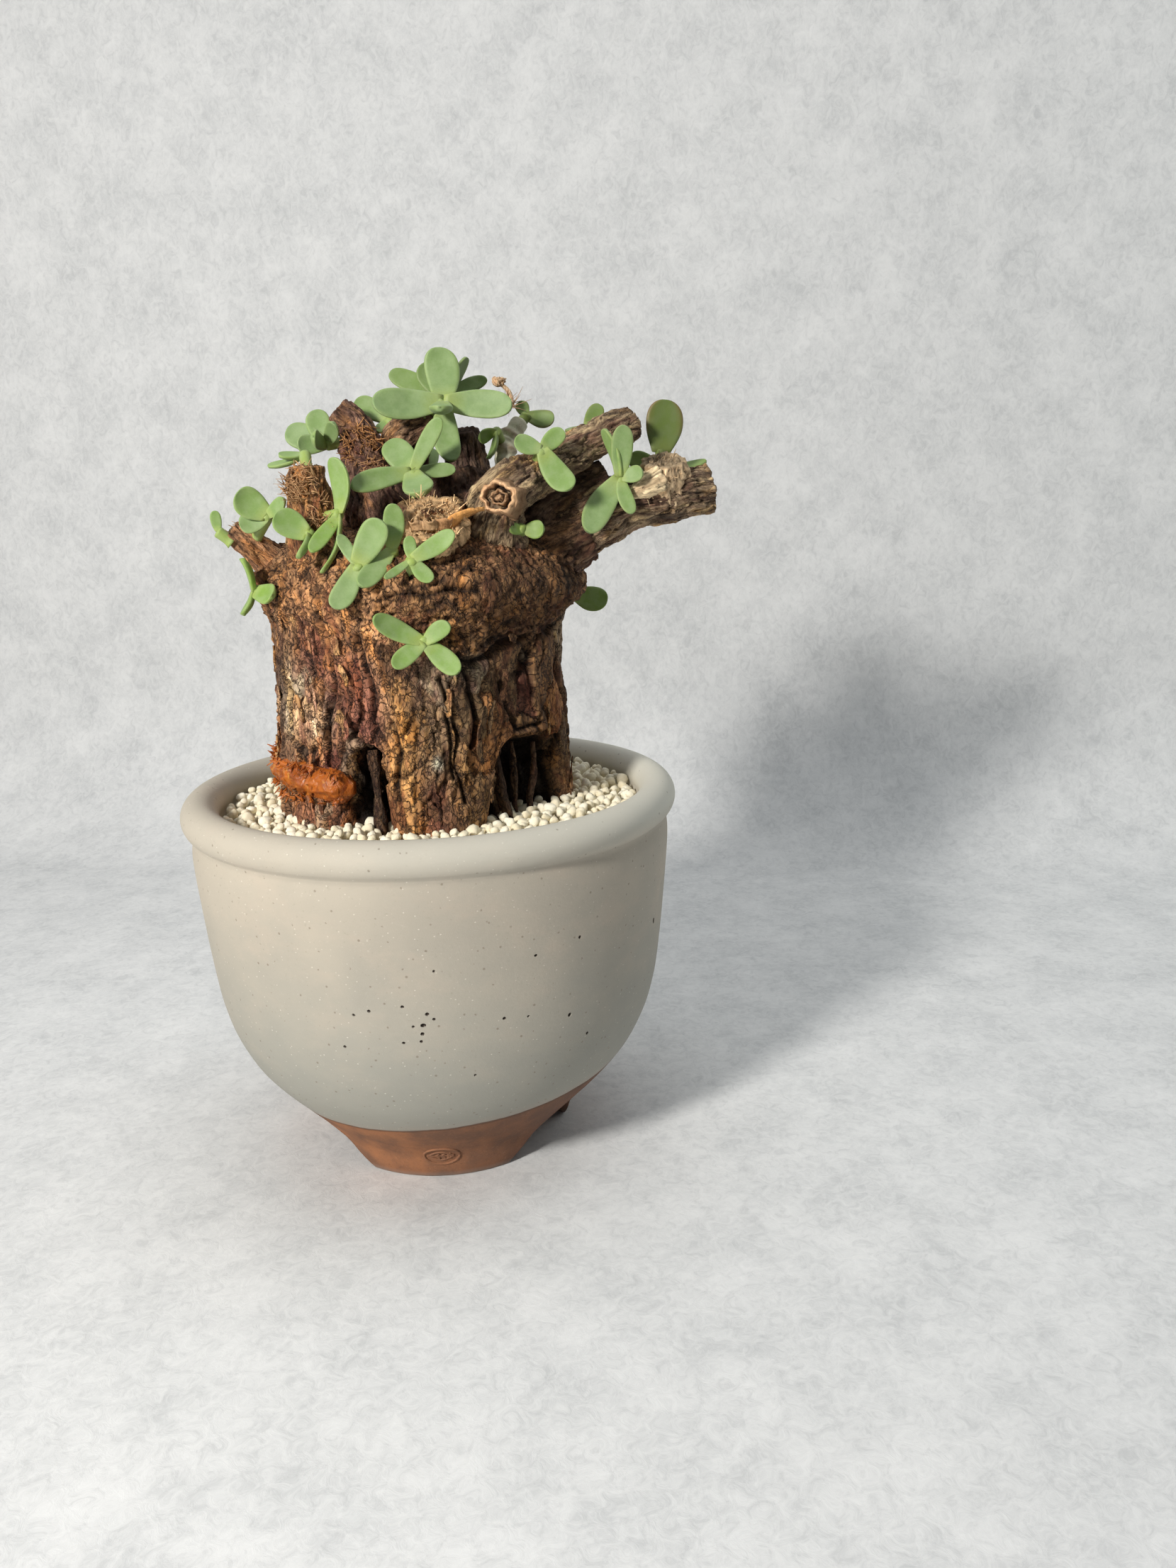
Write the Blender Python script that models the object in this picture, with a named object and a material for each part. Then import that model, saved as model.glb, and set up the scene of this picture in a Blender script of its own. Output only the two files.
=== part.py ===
"""A potted succulent: an old swollen trunk with sawn-off branches and fleshy leaves, growing in a
small footed stoneware pot dressed with pumice.

Every length is written in millimetres and multiplied by MM. All shapes are modelled about the pot's
own axis, and the PLANTER empty then carries the whole object so that its origin is at the middle of
its footprint box, on the surface the feet stand on."""

import math

import bmesh
import bpy
from mathutils import Vector
from mathutils.bvhtree import BVHTree

MM = 0.001
GAP = 0.3 * MM                       # air kept between two pieces that touch

RIGHT_REACH = 62.0                   # how far the plant leans out to the right of the pot's axis

# ---- pot ----
RIM_RADIUS = 52.5
LIP_THICKNESS = 8.8                  # the rolled lip is round in section
LIP_TOP = 80.6
CREASE_HEIGHT = 73.0
FOOT_OUTER = 26.5
FOOT_INNER = 21.5
UNDERSIDE = 12.8                     # height of the bowl's underside within the foot ring
FLOOR = 19.0
DRAIN_RADIUS = 7.0
FOOT_ANGLES = (-97.0, 23.0, 143.0)   # the middle of each foot, degrees from +X
ARCH_HALF_WIDTH = 12.7
POT_SEGMENTS = 48
OUTER_WALL = (
    (FOOT_OUTER, 0.0), (28.7, 6.5), (35.5, 14.8), (42.3, 23.1), (46.2, 31.4),
    (48.1, 39.7), (49.1, 48.0), (50.7, 64.7), (51.1, CREASE_HEIGHT),
)
INNER_WALL = (
    (44.8, 72.0), (44.6, 58.0), (43.4, 46.0), (40.6, 36.0), (35.0, 27.0), (26.0, 21.0),
)

# ---- filling ----
MESH_RADIUS = 10.0
MESH_THICKNESS = 1.0
SOIL_TOP = 66.0
DRESSING_TOP = 76.2
FILL_SEGMENTS = 32

# ---- trunk: (height, radius) of its girth, and the gaps between its roots ----
TRUNK_X = -1.0
TRUNK_Y = 2.0
TRUNK_SEGMENTS = 44
TRUNK_GIRTH = (
    (59.0, 15.0), (63.0, 25.0), (69.0, 30.0), (76.0, 31.8), (83.0, 31.0), (90.0, 30.3),
    (98.0, 29.8), (106.0, 29.5), (112.0, 29.6), (118.0, 30.0), (122.5, 30.4), (126.0, 29.6),
    (129.5, 26.5), (132.5, 19.0), (134.0, 9.0),
)
ROOT_GAPS = (                        # angle, half width in degrees, depth, height it fades at
    (-119.0, 8.0, 13.0, 93.0),
    (-38.0, 16.0, 9.0, 91.0),
    (64.0, 12.0, 7.0, 92.0),
    (152.0, 9.0, 6.0, 90.0),
)

# ---- branches: the middle line from trunk to tip as (x, y, z), with a radius at each point ----
BRANCHES = {
    "branch_left_low": (((-22, -1, 119), (-30, -2, 128), (-37, -3, 134.3)), (6.5, 3.8, 2.2)),
    "branch_left_front": (((-17, -10, 123), (-20, -13, 134), (-20, -13, 146)), (6.0, 4.0, 2.7)),
    "branch_left_back": (
        ((-5, -3, 128), (-8, -1, 140.5), (-9, 2, 146.5), (-11.5, 5, 154), (-15, 5, 157.5)),
        (6.5, 4.6, 4.0, 3.1, 2.3),
    ),
    "branch_front_cut": (((2, -12, 122), (2.8, -17, 130), (2.8, -19, 138.5)), (6.8, 6.4, 5.9)),
    "branch_centre": (((3, 6, 128), (-1, 6, 142), (-1.5, 4, 151), (5, 0, 156)), (6.5, 4.4, 4.0, 2.6)),
    "branch_upper_right": (
        ((13, -10, 121), (15.5, -16, 137), (23, -12, 143), (32.5, -7, 148), (44.5, -3, 153.5)),
        (6.0, 5.0, 3.9, 3.3, 3.0),
    ),
    "branch_lower_right": (
        ((21, -1, 127), (33.5, -4, 133.5), (41, -5, 137), (50.5, -4, 138.5), (60.5, -3, 140)),
        (7.0, 5.0, 4.7, 4.6, 4.2),
    ),
    "branch_dark": (((14, 13, 126), (12, 11, 142), (10.5, 8.5, 153)), (5.0, 3.2, 2.2)),
    "branch_back_left": (((-13, 16, 120), (-17, 24, 130), (-18, 29, 137)), (7.0, 4.4, 3.4)),
    "branch_back_right": (((9, 18, 120), (8, 27, 130), (9, 32, 137)), (7.0, 4.6, 3.3)),
}
SIDE_STUB = ((50.8, -4, 139), (50.3, -5.5, 146))     # a sawn twig on top of branch_lower_right
SIDE_STUB_RADII = (4.0, 3.2)
BRANCH_SIDES = 10
BRANCH_RINGS = 6

YOUNG_STEM = ((20, 3.5, 136.5), (18.8, 4, 147), (20, 5.5, 151), (23, 7, 155))
YOUNG_STEM_RADII = (2.5, 2.3, 2.2, 1.7)
DRIED_FLOWER = ((21, 6.5, 157.5), (20.5, 7, 160.5), (18.5, 7, 162.5))
DRIED_FLOWER_RADII = (0.7, 0.9, 0.5)

# ---- leaves: each shoot is the point its leaves spring from, then for every leaf the point its
# tip reaches, its width and the way its upper face looks ----
FRONT = (0, -1, 0.3)
UP = (0, -0.4, 1)
LEFT = (-1, -0.3, 0)
RIGHT = (1, -0.3, 0)
BACK = (0, 1, 0.3)
SHOOTS = {
    "shoot_left_low": ((-33, -8.5, 122.5), (
        ((-34.5, -10.5, 129), 4.0, LEFT), ((-35.5, -10, 118), 3.6, LEFT),
        ((-28.5, -15.5, 122), 4.4, FRONT))),
    "shoot_left_tip": ((-39.3, -4.5, 134), (
        ((-39.6, -5, 138.2), 2.2, FRONT),)),
    "shoot_left_cluster": ((-29, -8, 137), (
        ((-34.5, -9, 141.5), 6.0, FRONT), ((-34.5, -8.5, 135), 4.4, FRONT),
        ((-25.3, -12, 140), 3.0, FRONT))),
    "shoot_left_front": ((-20.5, -20.5, 133.5), (
        ((-26.5, -21, 137), 5.4, FRONT), ((-22.5, -24, 129.5), 3.2, LEFT))),
    "shoot_left_long": ((-14.5, -19, 137), (
        ((-20, -24.5, 130.5), 3.0, FRONT), ((-15, -18.5, 147.5), 4.4, LEFT),
        ((-18.5, -24, 126.5), 2.6, LEFT))),
    "shoot_back_left": ((-17.5, 2.2, 150.5), (
        ((-25.5, 5, 153.5), 5.6, FRONT), ((-23, 0, 150.5), 4.2, FRONT),
        ((-19.5, 5.5, 157.5), 5.0, FRONT), ((-19.5, -3, 152), 3.8, RIGHT),
        ((-15.5, -2, 154.5), 3.2, FRONT))),
    "shoot_back_left_low": ((-21, -8, 148.5), (
        ((-26, -8.5, 148.5), 3.0, UP), ((-28.5, -6, 146.5), 3.0, UP))),
    "shoot_crown": ((6.5, -3, 158), (
        ((-7.5, -6, 158), 6.4, FRONT), ((6, 0, 168.8), 7.0, FRONT),
        ((5.5, -13, 156.5), 4.8, UP), ((20, -6, 157), 6.0, FRONT),
        ((7.5, -7, 146.5), 5.4, FRONT))),
    "shoot_crown_back": ((7.5, 5.5, 159.5), (
        ((2.8, 8, 166.5), 5.4, FRONT), ((12.2, 7.5, 167.5), 4.0, RIGHT),
        ((-4, 10, 165), 4.6, FRONT), ((16, 9, 163.5), 3.2, FRONT))),
    "shoot_crown_left": ((-4.8, 8, 155.5), (
        ((-11.5, 10.5, 159.5), 4.6, FRONT), ((-7.2, 4.5, 153), 2.2, FRONT))),
    "shoot_centre": ((-0.5, -12, 144.5), (
        ((-12, -18, 142), 4.4, FRONT), ((5.5, -13.5, 154.5), 3.4, FRONT),
        ((1, -20.5, 140.5), 6.0, FRONT), ((-5, -8.5, 150.5), 5.8, FRONT),
        ((8, -10, 145), 3.0, FRONT))),
    "shoot_front_left": ((-11.5, -29, 128), (
        ((-6.5, -30, 136), 5.4, FRONT), ((-16, -31.5, 120.5), 4.4, FRONT),
        ((-14.5, -27.5, 133.5), 2.4, FRONT))),
    "shoot_front_mid": ((-5, -27, 130.5), (
        ((-4.3, -27.5, 138.8), 4.0, FRONT), ((-11, -32.5, 124.5), 4.0, FRONT))),
    "shoot_front_right": ((-1.5, -31, 128.8), (
        ((6.5, -31, 133.5), 3.6, FRONT), ((-6.5, -34, 125.8), 1.6, FRONT),
        ((-1.7, -30.3, 133), 2.4, FRONT), ((2, -32, 124.8), 3.0, FRONT))),
    "shoot_front_star": ((0, -30.5, 113.5), (
        ((-9, -33, 118.8), 4.0, FRONT), ((4.7, -32, 117), 3.4, FRONT),
        ((-6, -33, 109.5), 3.6, FRONT), ((6, -33.5, 108), 4.2, FRONT))),
    "shoot_right_edge_up": ((33.5, 10, 124.5), (
        ((37, 11, 130.3), 4.4, FRONT),)),
    "shoot_right_edge_low": ((33.2, 10, 118), (
        ((40.7, 9, 116.5), 5.6, FRONT),)),
    "shoot_shade": ((20.3, -19.5, 133), (
        ((24, -21, 133.5), 3.6, FRONT), ((17.3, -21.5, 133.5), 2.4, FRONT))),
    "shoot_right_mid": ((24.5, -16.8, 148), (
        ((29.5, -20, 140.5), 5.2, FRONT), ((19.3, -17, 150), 3.8, FRONT),
        ((29, -14.5, 151.8), 3.6, FRONT))),
    "shoot_young_top": ((24, 8.5, 155.8), (
        ((29.8, 7, 155), 4.0, FRONT), ((22.8, 9.5, 158.8), 3.0, FRONT))),
    "shoot_young_low": ((17, 0.8, 152.5), (
        ((13.5, -1, 150.8), 3.0, RIGHT), ((15, -0.5, 147), 2.6, LEFT))),
    "shoot_upper_back": ((35.5, -1, 153), (
        ((31.5, 1.5, 152.3), 3.4, UP), ((38.8, 1, 157.3), 3.4, FRONT))),
    "shoot_right_main": ((40.5, -12, 142.5), (
        ((41, -14, 152.5), 4.4, FRONT), ((37.5, -10.5, 152), 3.8, LEFT),
        ((33, -17, 132.3), 5.6, FRONT), ((42.3, -15, 135.5), 3.2, FRONT),
        ((44.7, -14.5, 143.5), 3.4, FRONT))),
    "shoot_right_behind": ((52, 3, 144), (
        ((45, 3.5, 146.8), 4.4, FRONT), ((62, 4.5, 145.8), 3.8, UP))),
    "shoot_right_upright": ((50.8, -2, 147.3), (
        ((52, -1.5, 158), 7.8, FRONT),)),
    "shoot_back_top": ((-1, 13.5, 145), (
        ((-7, 18, 148.5), 4.6, BACK), ((5, 19, 149), 5.0, BACK), ((0, 18, 153), 4.0, BACK))),
    "shoot_back_left_tip": ((-19, 31.5, 137), (
        ((-24, 34, 140.5), 5.2, BACK), ((-17.5, 37.5, 141), 4.6, BACK), ((-21, 35.5, 130.5), 4.0, BACK))),
    "shoot_back_right_tip": ((9.5, 35, 138), (
        ((15.5, 36, 139), 4.6, BACK), ((6, 39, 140.5), 5.0, BACK), ((13, 38, 131), 4.2, BACK))),
    "shoot_back_low": ((-3, 35.5, 117), (
        ((-10, 38.5, 121), 4.4, BACK), ((4, 38.5, 120.5), 4.2, BACK), ((-2.5, 38.5, 109.5), 4.6, BACK))),
}
STEM_RADIUS = 1.1
LEAF_SIDES = 6
LEAF_STATIONS = ((0.0, 0.26), (0.36, 0.64), (0.68, 1.0), (0.92, 0.72))    # along, share of width
LEAF_BEND = 0.07                     # how far the middle bows back, as a share of the length

# ---- materials: colour, roughness, metallic ----
FINISHES = {
    "stoneware": ((0.50, 0.46, 0.39), 0.75, 0.0),
    "net": ((0.05, 0.05, 0.05), 0.55, 0.0),
    "soil": ((0.10, 0.065, 0.04), 0.95, 0.0),
    "pumice": ((0.78, 0.73, 0.60), 0.9, 0.0),
    "bark": ((0.24, 0.11, 0.06), 0.85, 0.0),
    "green_bark": ((0.42, 0.42, 0.32), 0.7, 0.0),
    "leaf": ((0.23, 0.36, 0.17), 0.5, 0.0),
    "dry_petal": ((0.55, 0.33, 0.16), 0.8, 0.0),
}


def material(name):
    made = bpy.data.materials.get(name) or bpy.data.materials.new(name)
    made.use_nodes = True
    colour, roughness, metallic = FINISHES[name]
    shader = made.node_tree.nodes["Principled BSDF"]
    shader.inputs["Base Color"].default_value = (*colour, 1.0)
    shader.inputs["Roughness"].default_value = roughness
    shader.inputs["Metallic"].default_value = metallic
    return made


def new_object(name, mesh, finish=None):
    """Link a mesh as an object carried by the planter empty."""
    made = bpy.data.objects.new(name, mesh)
    bpy.context.scene.collection.objects.link(made)
    made.parent = bpy.data.objects["PLANTER"]
    if finish:
        mesh.materials.clear()
        mesh.materials.append(material(finish))
    for polygon in mesh.polygons:
        polygon.use_smooth = True
    return made


def mesh_from(bm, name):
    bmesh.ops.recalc_face_normals(bm, faces=bm.faces[:])
    mesh = bpy.data.meshes.new(name)
    bm.to_mesh(mesh)
    bm.free()
    return mesh


def helper(name, mesh):
    """A cutter: it shapes its neighbours and is no piece of the object."""
    made = new_object(name, mesh)
    made.hide_render = True
    made.display_type = "WIRE"
    return made


def boolean(target, tool, operation):
    modifier = target.modifiers.new(tool.name, "BOOLEAN")
    modifier.operation = operation
    modifier.solver = "EXACT"
    modifier.object = tool


def apply_modifiers(target):
    bpy.context.view_layer.update()
    graph = bpy.context.evaluated_depsgraph_get()
    mesh = bpy.data.meshes.new_from_object(target.evaluated_get(graph), depsgraph=graph)
    target.modifiers.clear()
    target.data = mesh


def interpolate(x, table):
    """Straight-line reading of a table of (x, value) pairs."""
    for (x0, v0), (x1, v1) in zip(table, table[1:]):
        if x <= x1:
            return v0 + (v1 - v0) * max(0.0, x - x0) / (x1 - x0)
    return table[-1][1]


def point(x, y, z):
    return Vector((x, y, z)) * MM


def polar(radius, degrees, z):
    angle = math.radians(degrees)
    return point(radius * math.cos(angle), radius * math.sin(angle), z)


# ---- turned pieces ----

def turned(name, outline, segments, closed_ring):
    """Turn an outline of (radius, height) about Z. A closed ring never meets the axis; any other
    outline starts and ends on it."""
    bm = bmesh.new()
    rings = []
    for radius, height in outline:
        if radius == 0:
            rings.append([bm.verts.new(point(0, 0, height))] * segments)
            continue
        rings.append([bm.verts.new(polar(radius, 360 * i / segments, height))
                      for i in range(segments)])
    pairs = list(zip(rings, rings[1:]))
    if closed_ring:
        pairs.append((rings[-1], rings[0]))
    for low, high in pairs:
        for i in range(segments):
            j = (i + 1) % segments
            corners = []
            for vert in (low[i], low[j], high[j], high[i]):
                if vert not in corners:
                    corners.append(vert)
            bm.faces.new(corners)
    return mesh_from(bm, name)


def lip_arc():
    """The rolled lip: a round bead from the crease outside, over the top, to the inner wall."""
    bead = LIP_THICKNESS / 2
    middle = RIM_RADIUS - bead
    return [(middle + bead * math.cos(math.radians(a)), LIP_TOP - bead + bead * math.sin(math.radians(a)))
            for a in range(-24, 205, 19)]


def arch_cutter(name, degrees):
    """The opening between two feet: pointed at its crown, and rising outwards under the bowl."""
    bm = bmesh.new()
    ends = []
    for radius, crown in ((17.0, 12.0), (60.0, 22.5)):
        ring = []
        for i in range(-6, 7):
            across = math.sin(math.radians(15 * i))
            height = crown * (1 - abs(across) ** 1.25) - 0.5 * abs(across)
            side = polar(ARCH_HALF_WIDTH * across, degrees + 90, height)
            ring.append(bm.verts.new(polar(radius, degrees, 0) + side))
        for i in (1, -1):
            side = polar(ARCH_HALF_WIDTH * i, degrees + 90, -5)
            ring.append(bm.verts.new(polar(radius, degrees, 0) + side))
        ends.append(ring)
    bm.faces.new(ends[0])
    bm.faces.new(ends[1])
    count = len(ends[0])
    for i in range(count):
        j = (i + 1) % count
        bm.faces.new((ends[0][i], ends[0][j], ends[1][j], ends[1][i]))
    return helper(name, mesh_from(bm, name))


def make_pot():
    outline = [*OUTER_WALL, *lip_arc(), *INNER_WALL]
    outline += [(DRAIN_RADIUS, FLOOR), (DRAIN_RADIUS, UNDERSIDE)]
    outline += [(FOOT_INNER - 3, UNDERSIDE), (FOOT_INNER, UNDERSIDE - 3), (FOOT_INNER, 0)]
    pot = new_object("pot", turned("pot", outline, POT_SEGMENTS, True), "stoneware")
    for i, degrees in enumerate(FOOT_ANGLES):
        boolean(pot, arch_cutter(f"arch_{i}", degrees + 60), "DIFFERENCE")
    return pot


def make_drain_mesh():
    """The plastic net laid over the drain hole: a disc with a grid of square openings."""
    low = FLOOR + 1.5 * GAP / MM
    disc = [(0, low), (MESH_RADIUS, low), (MESH_RADIUS, low + MESH_THICKNESS), (0, low + MESH_THICKNESS)]
    net = new_object("drain_mesh", turned("drain_mesh", disc, 20, False), "net")
    for i in (-1, 0, 1):
        for j in (-1, 0, 1):
            bm = bmesh.new()
            bmesh.ops.create_cube(bm, size=3.0 * MM)
            bmesh.ops.translate(bm, vec=point(4.4 * i, 4.4 * j, low + MESH_THICKNESS / 2), verts=bm.verts)
            hole = helper(f"net_hole_{i}_{j}", mesh_from(bm, "net_hole"))
            boolean(net, hole, "DIFFERENCE")
    return net


def inner_radius(height):
    """Inside radius of the bowl at a height, less the gap that the filling keeps."""
    wall = sorted((z, r) for r, z in ((DRAIN_RADIUS, FLOOR), *INNER_WALL))
    return interpolate(height, wall) - 2.0 * GAP / MM


def make_filling():
    """Potting soil up to SOIL_TOP, then the pumice dressing around the trunk."""
    planting_hole = helper("planting_hole", trunk_mesh("planting_hole", 4.0 * GAP / MM))
    low = FLOOR + MESH_THICKNESS + 3.0 * GAP / MM
    soil = [(0, low), (inner_radius(low) - 1.0, low)]
    soil += [(inner_radius(z) - 0.5, z) for z in (21.0, 27.0, 36.0, 46.0, 58.0)]
    soil += [(inner_radius(SOIL_TOP), SOIL_TOP), (0, SOIL_TOP)]
    bed = SOIL_TOP + GAP / MM
    dressing = [(0, bed), (inner_radius(bed), bed), (inner_radius(72), 72)]
    dressing += [(RIM_RADIUS - LIP_THICKNESS - 0.6, 74.0), (RIM_RADIUS - LIP_THICKNESS - 0.6, 75.0)]
    dressing += [(40.0, DRESSING_TOP), (34.0, DRESSING_TOP + 0.4), (0, DRESSING_TOP + 0.4)]
    for name, outline, finish in (("soil", soil, "soil"), ("top_dressing", dressing, "pumice")):
        made = new_object(name, turned(name, outline, FILL_SEGMENTS, False), finish)
        boolean(made, planting_hole, "DIFFERENCE")


# ---- wood ----

def trunk_radius(degrees, height):
    """Girth at a height, narrowed where the roots part and swollen in long low ribs."""
    radius = interpolate(height, TRUNK_GIRTH)
    for angle, half_width, depth, fades in ROOT_GAPS:
        away = (degrees - angle + 180) % 360 - 180
        rise = max(0.0, min(1.0, (fades - height) / (fades - 76.0)))
        radius -= depth * rise ** 0.7 * math.exp(-((away / half_width) ** 2))
    ribs = 0.5 * math.sin(math.radians(5 * degrees + 2 * height)) + 0.4 * math.sin(math.radians(9 * degrees))
    shoulder = math.exp(-(((height - 122) / 4.5) ** 2)) * (2.2 + 2.2 * math.cos(math.radians(degrees)))
    return max(3.0, radius + ribs + shoulder)


def trunk_mesh(name, clearance):
    """The trunk, or with a clearance the slightly fatter shape that its neighbours are cut by."""
    bm = bmesh.new()
    rings = []
    for row, (height, _) in enumerate(TRUNK_GIRTH):
        lift = 0.0
        if row == 0:
            lift = -clearance
        if row == len(TRUNK_GIRTH) - 1:
            lift = clearance
        ring = []
        for i in range(TRUNK_SEGMENTS):
            degrees = 360 * i / TRUNK_SEGMENTS
            offset = polar(trunk_radius(degrees, height) + clearance, degrees, height + lift)
            ring.append(bm.verts.new(offset + point(TRUNK_X, TRUNK_Y, 0)))
        rings.append(ring)
    for low, high in zip(rings, rings[1:]):
        for i in range(TRUNK_SEGMENTS):
            j = (i + 1) % TRUNK_SEGMENTS
            bm.faces.new((low[i], low[j], high[j], high[i]))
    bm.faces.new(rings[0])
    bm.faces.new(rings[-1])
    return mesh_from(bm, name)


def smooth_path(points, radii, rings):
    """Evenly spaced (centre, radius) stations on a smooth curve through hand-placed points."""
    count = len(points)
    stations = []
    for k in range(rings):
        at = (count - 1) * k / (rings - 1)
        i = min(int(at), count - 2)
        t = at - i
        near = [Vector(points[max(0, min(count - 1, i + d))]) for d in (-1, 0, 1, 2)]
        a, b, c, d = near
        centre = 0.5 * (2 * b + (c - a) * t + (2 * a - 5 * b + 4 * c - d) * t ** 2
                        + (3 * b - a - 3 * c + d) * t ** 3)
        stations.append((centre * MM, (radii[i] * (1 - t) + radii[i + 1] * t) * MM))
    return stations


def tube_mesh(name, stations, sides):
    """A closed tube through (centre, radius) stations, its rings square to the path."""
    bm = bmesh.new()
    rings = []
    side = None
    for k, (centre, radius) in enumerate(stations):
        before = stations[max(0, k - 1)][0]
        after = stations[min(len(stations) - 1, k + 1)][0]
        along = (after - before).normalized()
        if side is None:
            side = along.orthogonal()
        side = (side - along * side.dot(along)).normalized()
        other = along.cross(side)
        ring = []
        for i in range(sides):
            angle = 2 * math.pi * i / sides
            ring.append(bm.verts.new(centre + radius * (side * math.cos(angle) + other * math.sin(angle))))
        rings.append(ring)
    for low, high in zip(rings, rings[1:]):
        for i in range(sides):
            j = (i + 1) % sides
            bm.faces.new((low[i], low[j], high[j], high[i]))
    bm.faces.new(rings[0])
    bm.faces.new(rings[-1])
    return mesh_from(bm, name)


def make_wood():
    caudex = new_object("caudex", trunk_mesh("caudex", 0.0), "bark")
    clearance = helper("caudex_clearance", trunk_mesh("caudex_clearance", 2.0 * GAP / MM))
    wood = [caudex]
    for name, (points, radii) in BRANCHES.items():
        stations = smooth_path(points, radii, BRANCH_RINGS)
        branch = new_object(name, tube_mesh(name, stations, BRANCH_SIDES), "bark")
        boolean(branch, clearance, "DIFFERENCE")
        if name == "branch_lower_right":
            stub = tube_mesh("side_stub", smooth_path(SIDE_STUB, SIDE_STUB_RADII, 3), 8)
            boolean(branch, helper("side_stub", stub), "UNION")
        wood.append(branch)
    stem = tube_mesh("young_stem", smooth_path(YOUNG_STEM, YOUNG_STEM_RADII, 7), 8)
    wood.append(new_object("young_stem", stem, "green_bark"))
    flower = tube_mesh("dried_flower", smooth_path(DRIED_FLOWER, DRIED_FLOWER_RADII, 5), 5)
    new_object("dried_flower", flower, "dry_petal")
    return wood


# ---- leaves ----

def leaf_mesh(name, base, tip, width, face):
    """A thick spoon-shaped leaf: narrow at its base, widest past the middle, bowed back a little."""
    length = (tip - base).length
    along = (tip - base).normalized()
    up = Vector(face)
    up = (up - along * up.dot(along)).normalized()
    side = along.cross(up)
    thickness = (0.24 * width + 0.5) * MM
    bm = bmesh.new()
    rings = []
    for t, share in LEAF_STATIONS:
        centre = base + along * length * t - up * length * LEAF_BEND * math.sin(math.pi * t)
        half = max(share * width * MM / 2, 0.45 * MM)
        deep = max(0.5 * thickness * (0.6 + 0.4 * math.sin(math.pi * t)), 0.4 * MM)
        ring = []
        for i in range(LEAF_SIDES):
            angle = 2 * math.pi * i / LEAF_SIDES
            ring.append(bm.verts.new(centre + side * half * math.cos(angle) + up * deep * math.sin(angle)))
        rings.append(ring)
    for low, high in zip(rings, rings[1:]):
        for i in range(LEAF_SIDES):
            j = (i + 1) % LEAF_SIDES
            bm.faces.new((low[i], low[j], high[j], high[i]))
    end = bm.verts.new(tip)
    for i in range(LEAF_SIDES):
        bm.faces.new((rings[-1][i], rings[-1][(i + 1) % LEAF_SIDES], end))
    bm.faces.new(rings[0])
    return mesh_from(bm, name)


def nearest_wood(place, trees):
    hits = [tree.find_nearest(place) for tree in trees]
    return min(hits, key=lambda hit: hit[3])[0]


def make_shoot(name, node, leaves, trees):
    """A short stem that ends just off the wood, and the leaves that spring from its top."""
    top = point(*node)
    root = nearest_wood(top, trees)
    reach = (top - root).length
    out = (top - root).normalized()
    foot = root + out * min(2.0 * GAP, reach / 2)
    crown = top + out * 0.5 * STEM_RADIUS * MM
    stations = [(foot, 0.7 * STEM_RADIUS * MM), (foot.lerp(top, 0.7), STEM_RADIUS * MM),
                (crown, 0.8 * STEM_RADIUS * MM)]
    shoot = new_object(name, tube_mesh(name, stations, 6), "leaf")
    parts = []
    for i, (tip, width, face) in enumerate(leaves):
        base = top + (point(*tip) - top).normalized() * 0.2 * MM
        parts.append(helper(f"{name}_{i}", leaf_mesh(f"{name}_{i}", base, point(*tip), width, face)))
        boolean(shoot, parts[-1], "UNION")
    apply_modifiers(shoot)
    for part in parts:
        bpy.data.objects.remove(part)


def main():
    for old in list(bpy.data.objects):
        bpy.data.objects.remove(old)
    planter = bpy.data.objects.new("PLANTER", None)
    bpy.context.scene.collection.objects.link(planter)

    make_pot()
    make_drain_mesh()
    wood = make_wood()
    make_filling()
    bpy.context.view_layer.update()
    graph = bpy.context.evaluated_depsgraph_get()
    trees = [BVHTree.FromObject(piece, graph) for piece in wood]
    for name, (node, leaves) in SHOOTS.items():
        make_shoot(name, node, leaves, trees)
    planter.location.x = -(RIGHT_REACH - RIM_RADIUS) / 2 * MM


main()
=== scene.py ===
"""The looks of a potted succulent: an old swollen trunk with sawn-off branches and fleshy leaves,
in a small footed stoneware pot dressed with pumice.

Lengths are millimetres about the pot's own axis until a piece is made, which turns them into metres
in the row frame. The trunk, branches, roots and shoots follow the same named points as the CAD."""

import itertools
import math

import bmesh
import bpy
import numpy as np
from mathutils import Matrix, Vector
from mathutils.bvhtree import BVHTree


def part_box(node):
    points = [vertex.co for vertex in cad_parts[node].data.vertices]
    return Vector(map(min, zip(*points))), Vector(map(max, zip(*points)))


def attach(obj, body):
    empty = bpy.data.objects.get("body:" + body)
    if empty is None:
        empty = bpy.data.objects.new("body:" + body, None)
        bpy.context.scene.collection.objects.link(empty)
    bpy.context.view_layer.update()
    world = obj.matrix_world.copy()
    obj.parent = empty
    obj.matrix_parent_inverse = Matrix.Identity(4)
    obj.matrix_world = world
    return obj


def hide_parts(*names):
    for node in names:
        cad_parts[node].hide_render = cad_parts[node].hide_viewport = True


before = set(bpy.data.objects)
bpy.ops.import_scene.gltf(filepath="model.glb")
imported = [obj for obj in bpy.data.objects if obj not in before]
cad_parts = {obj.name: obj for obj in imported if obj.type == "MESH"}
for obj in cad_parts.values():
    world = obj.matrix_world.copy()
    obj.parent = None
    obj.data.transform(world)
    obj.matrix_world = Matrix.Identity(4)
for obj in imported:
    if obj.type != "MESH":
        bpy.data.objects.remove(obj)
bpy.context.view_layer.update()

MM = 0.001
pot_low, pot_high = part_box("pot")
AXIS = np.array([(pot_low.x + pot_high.x) / 2, (pot_low.y + pot_high.y) / 2, 0.0])
rng = np.random.default_rng(11)

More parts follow.
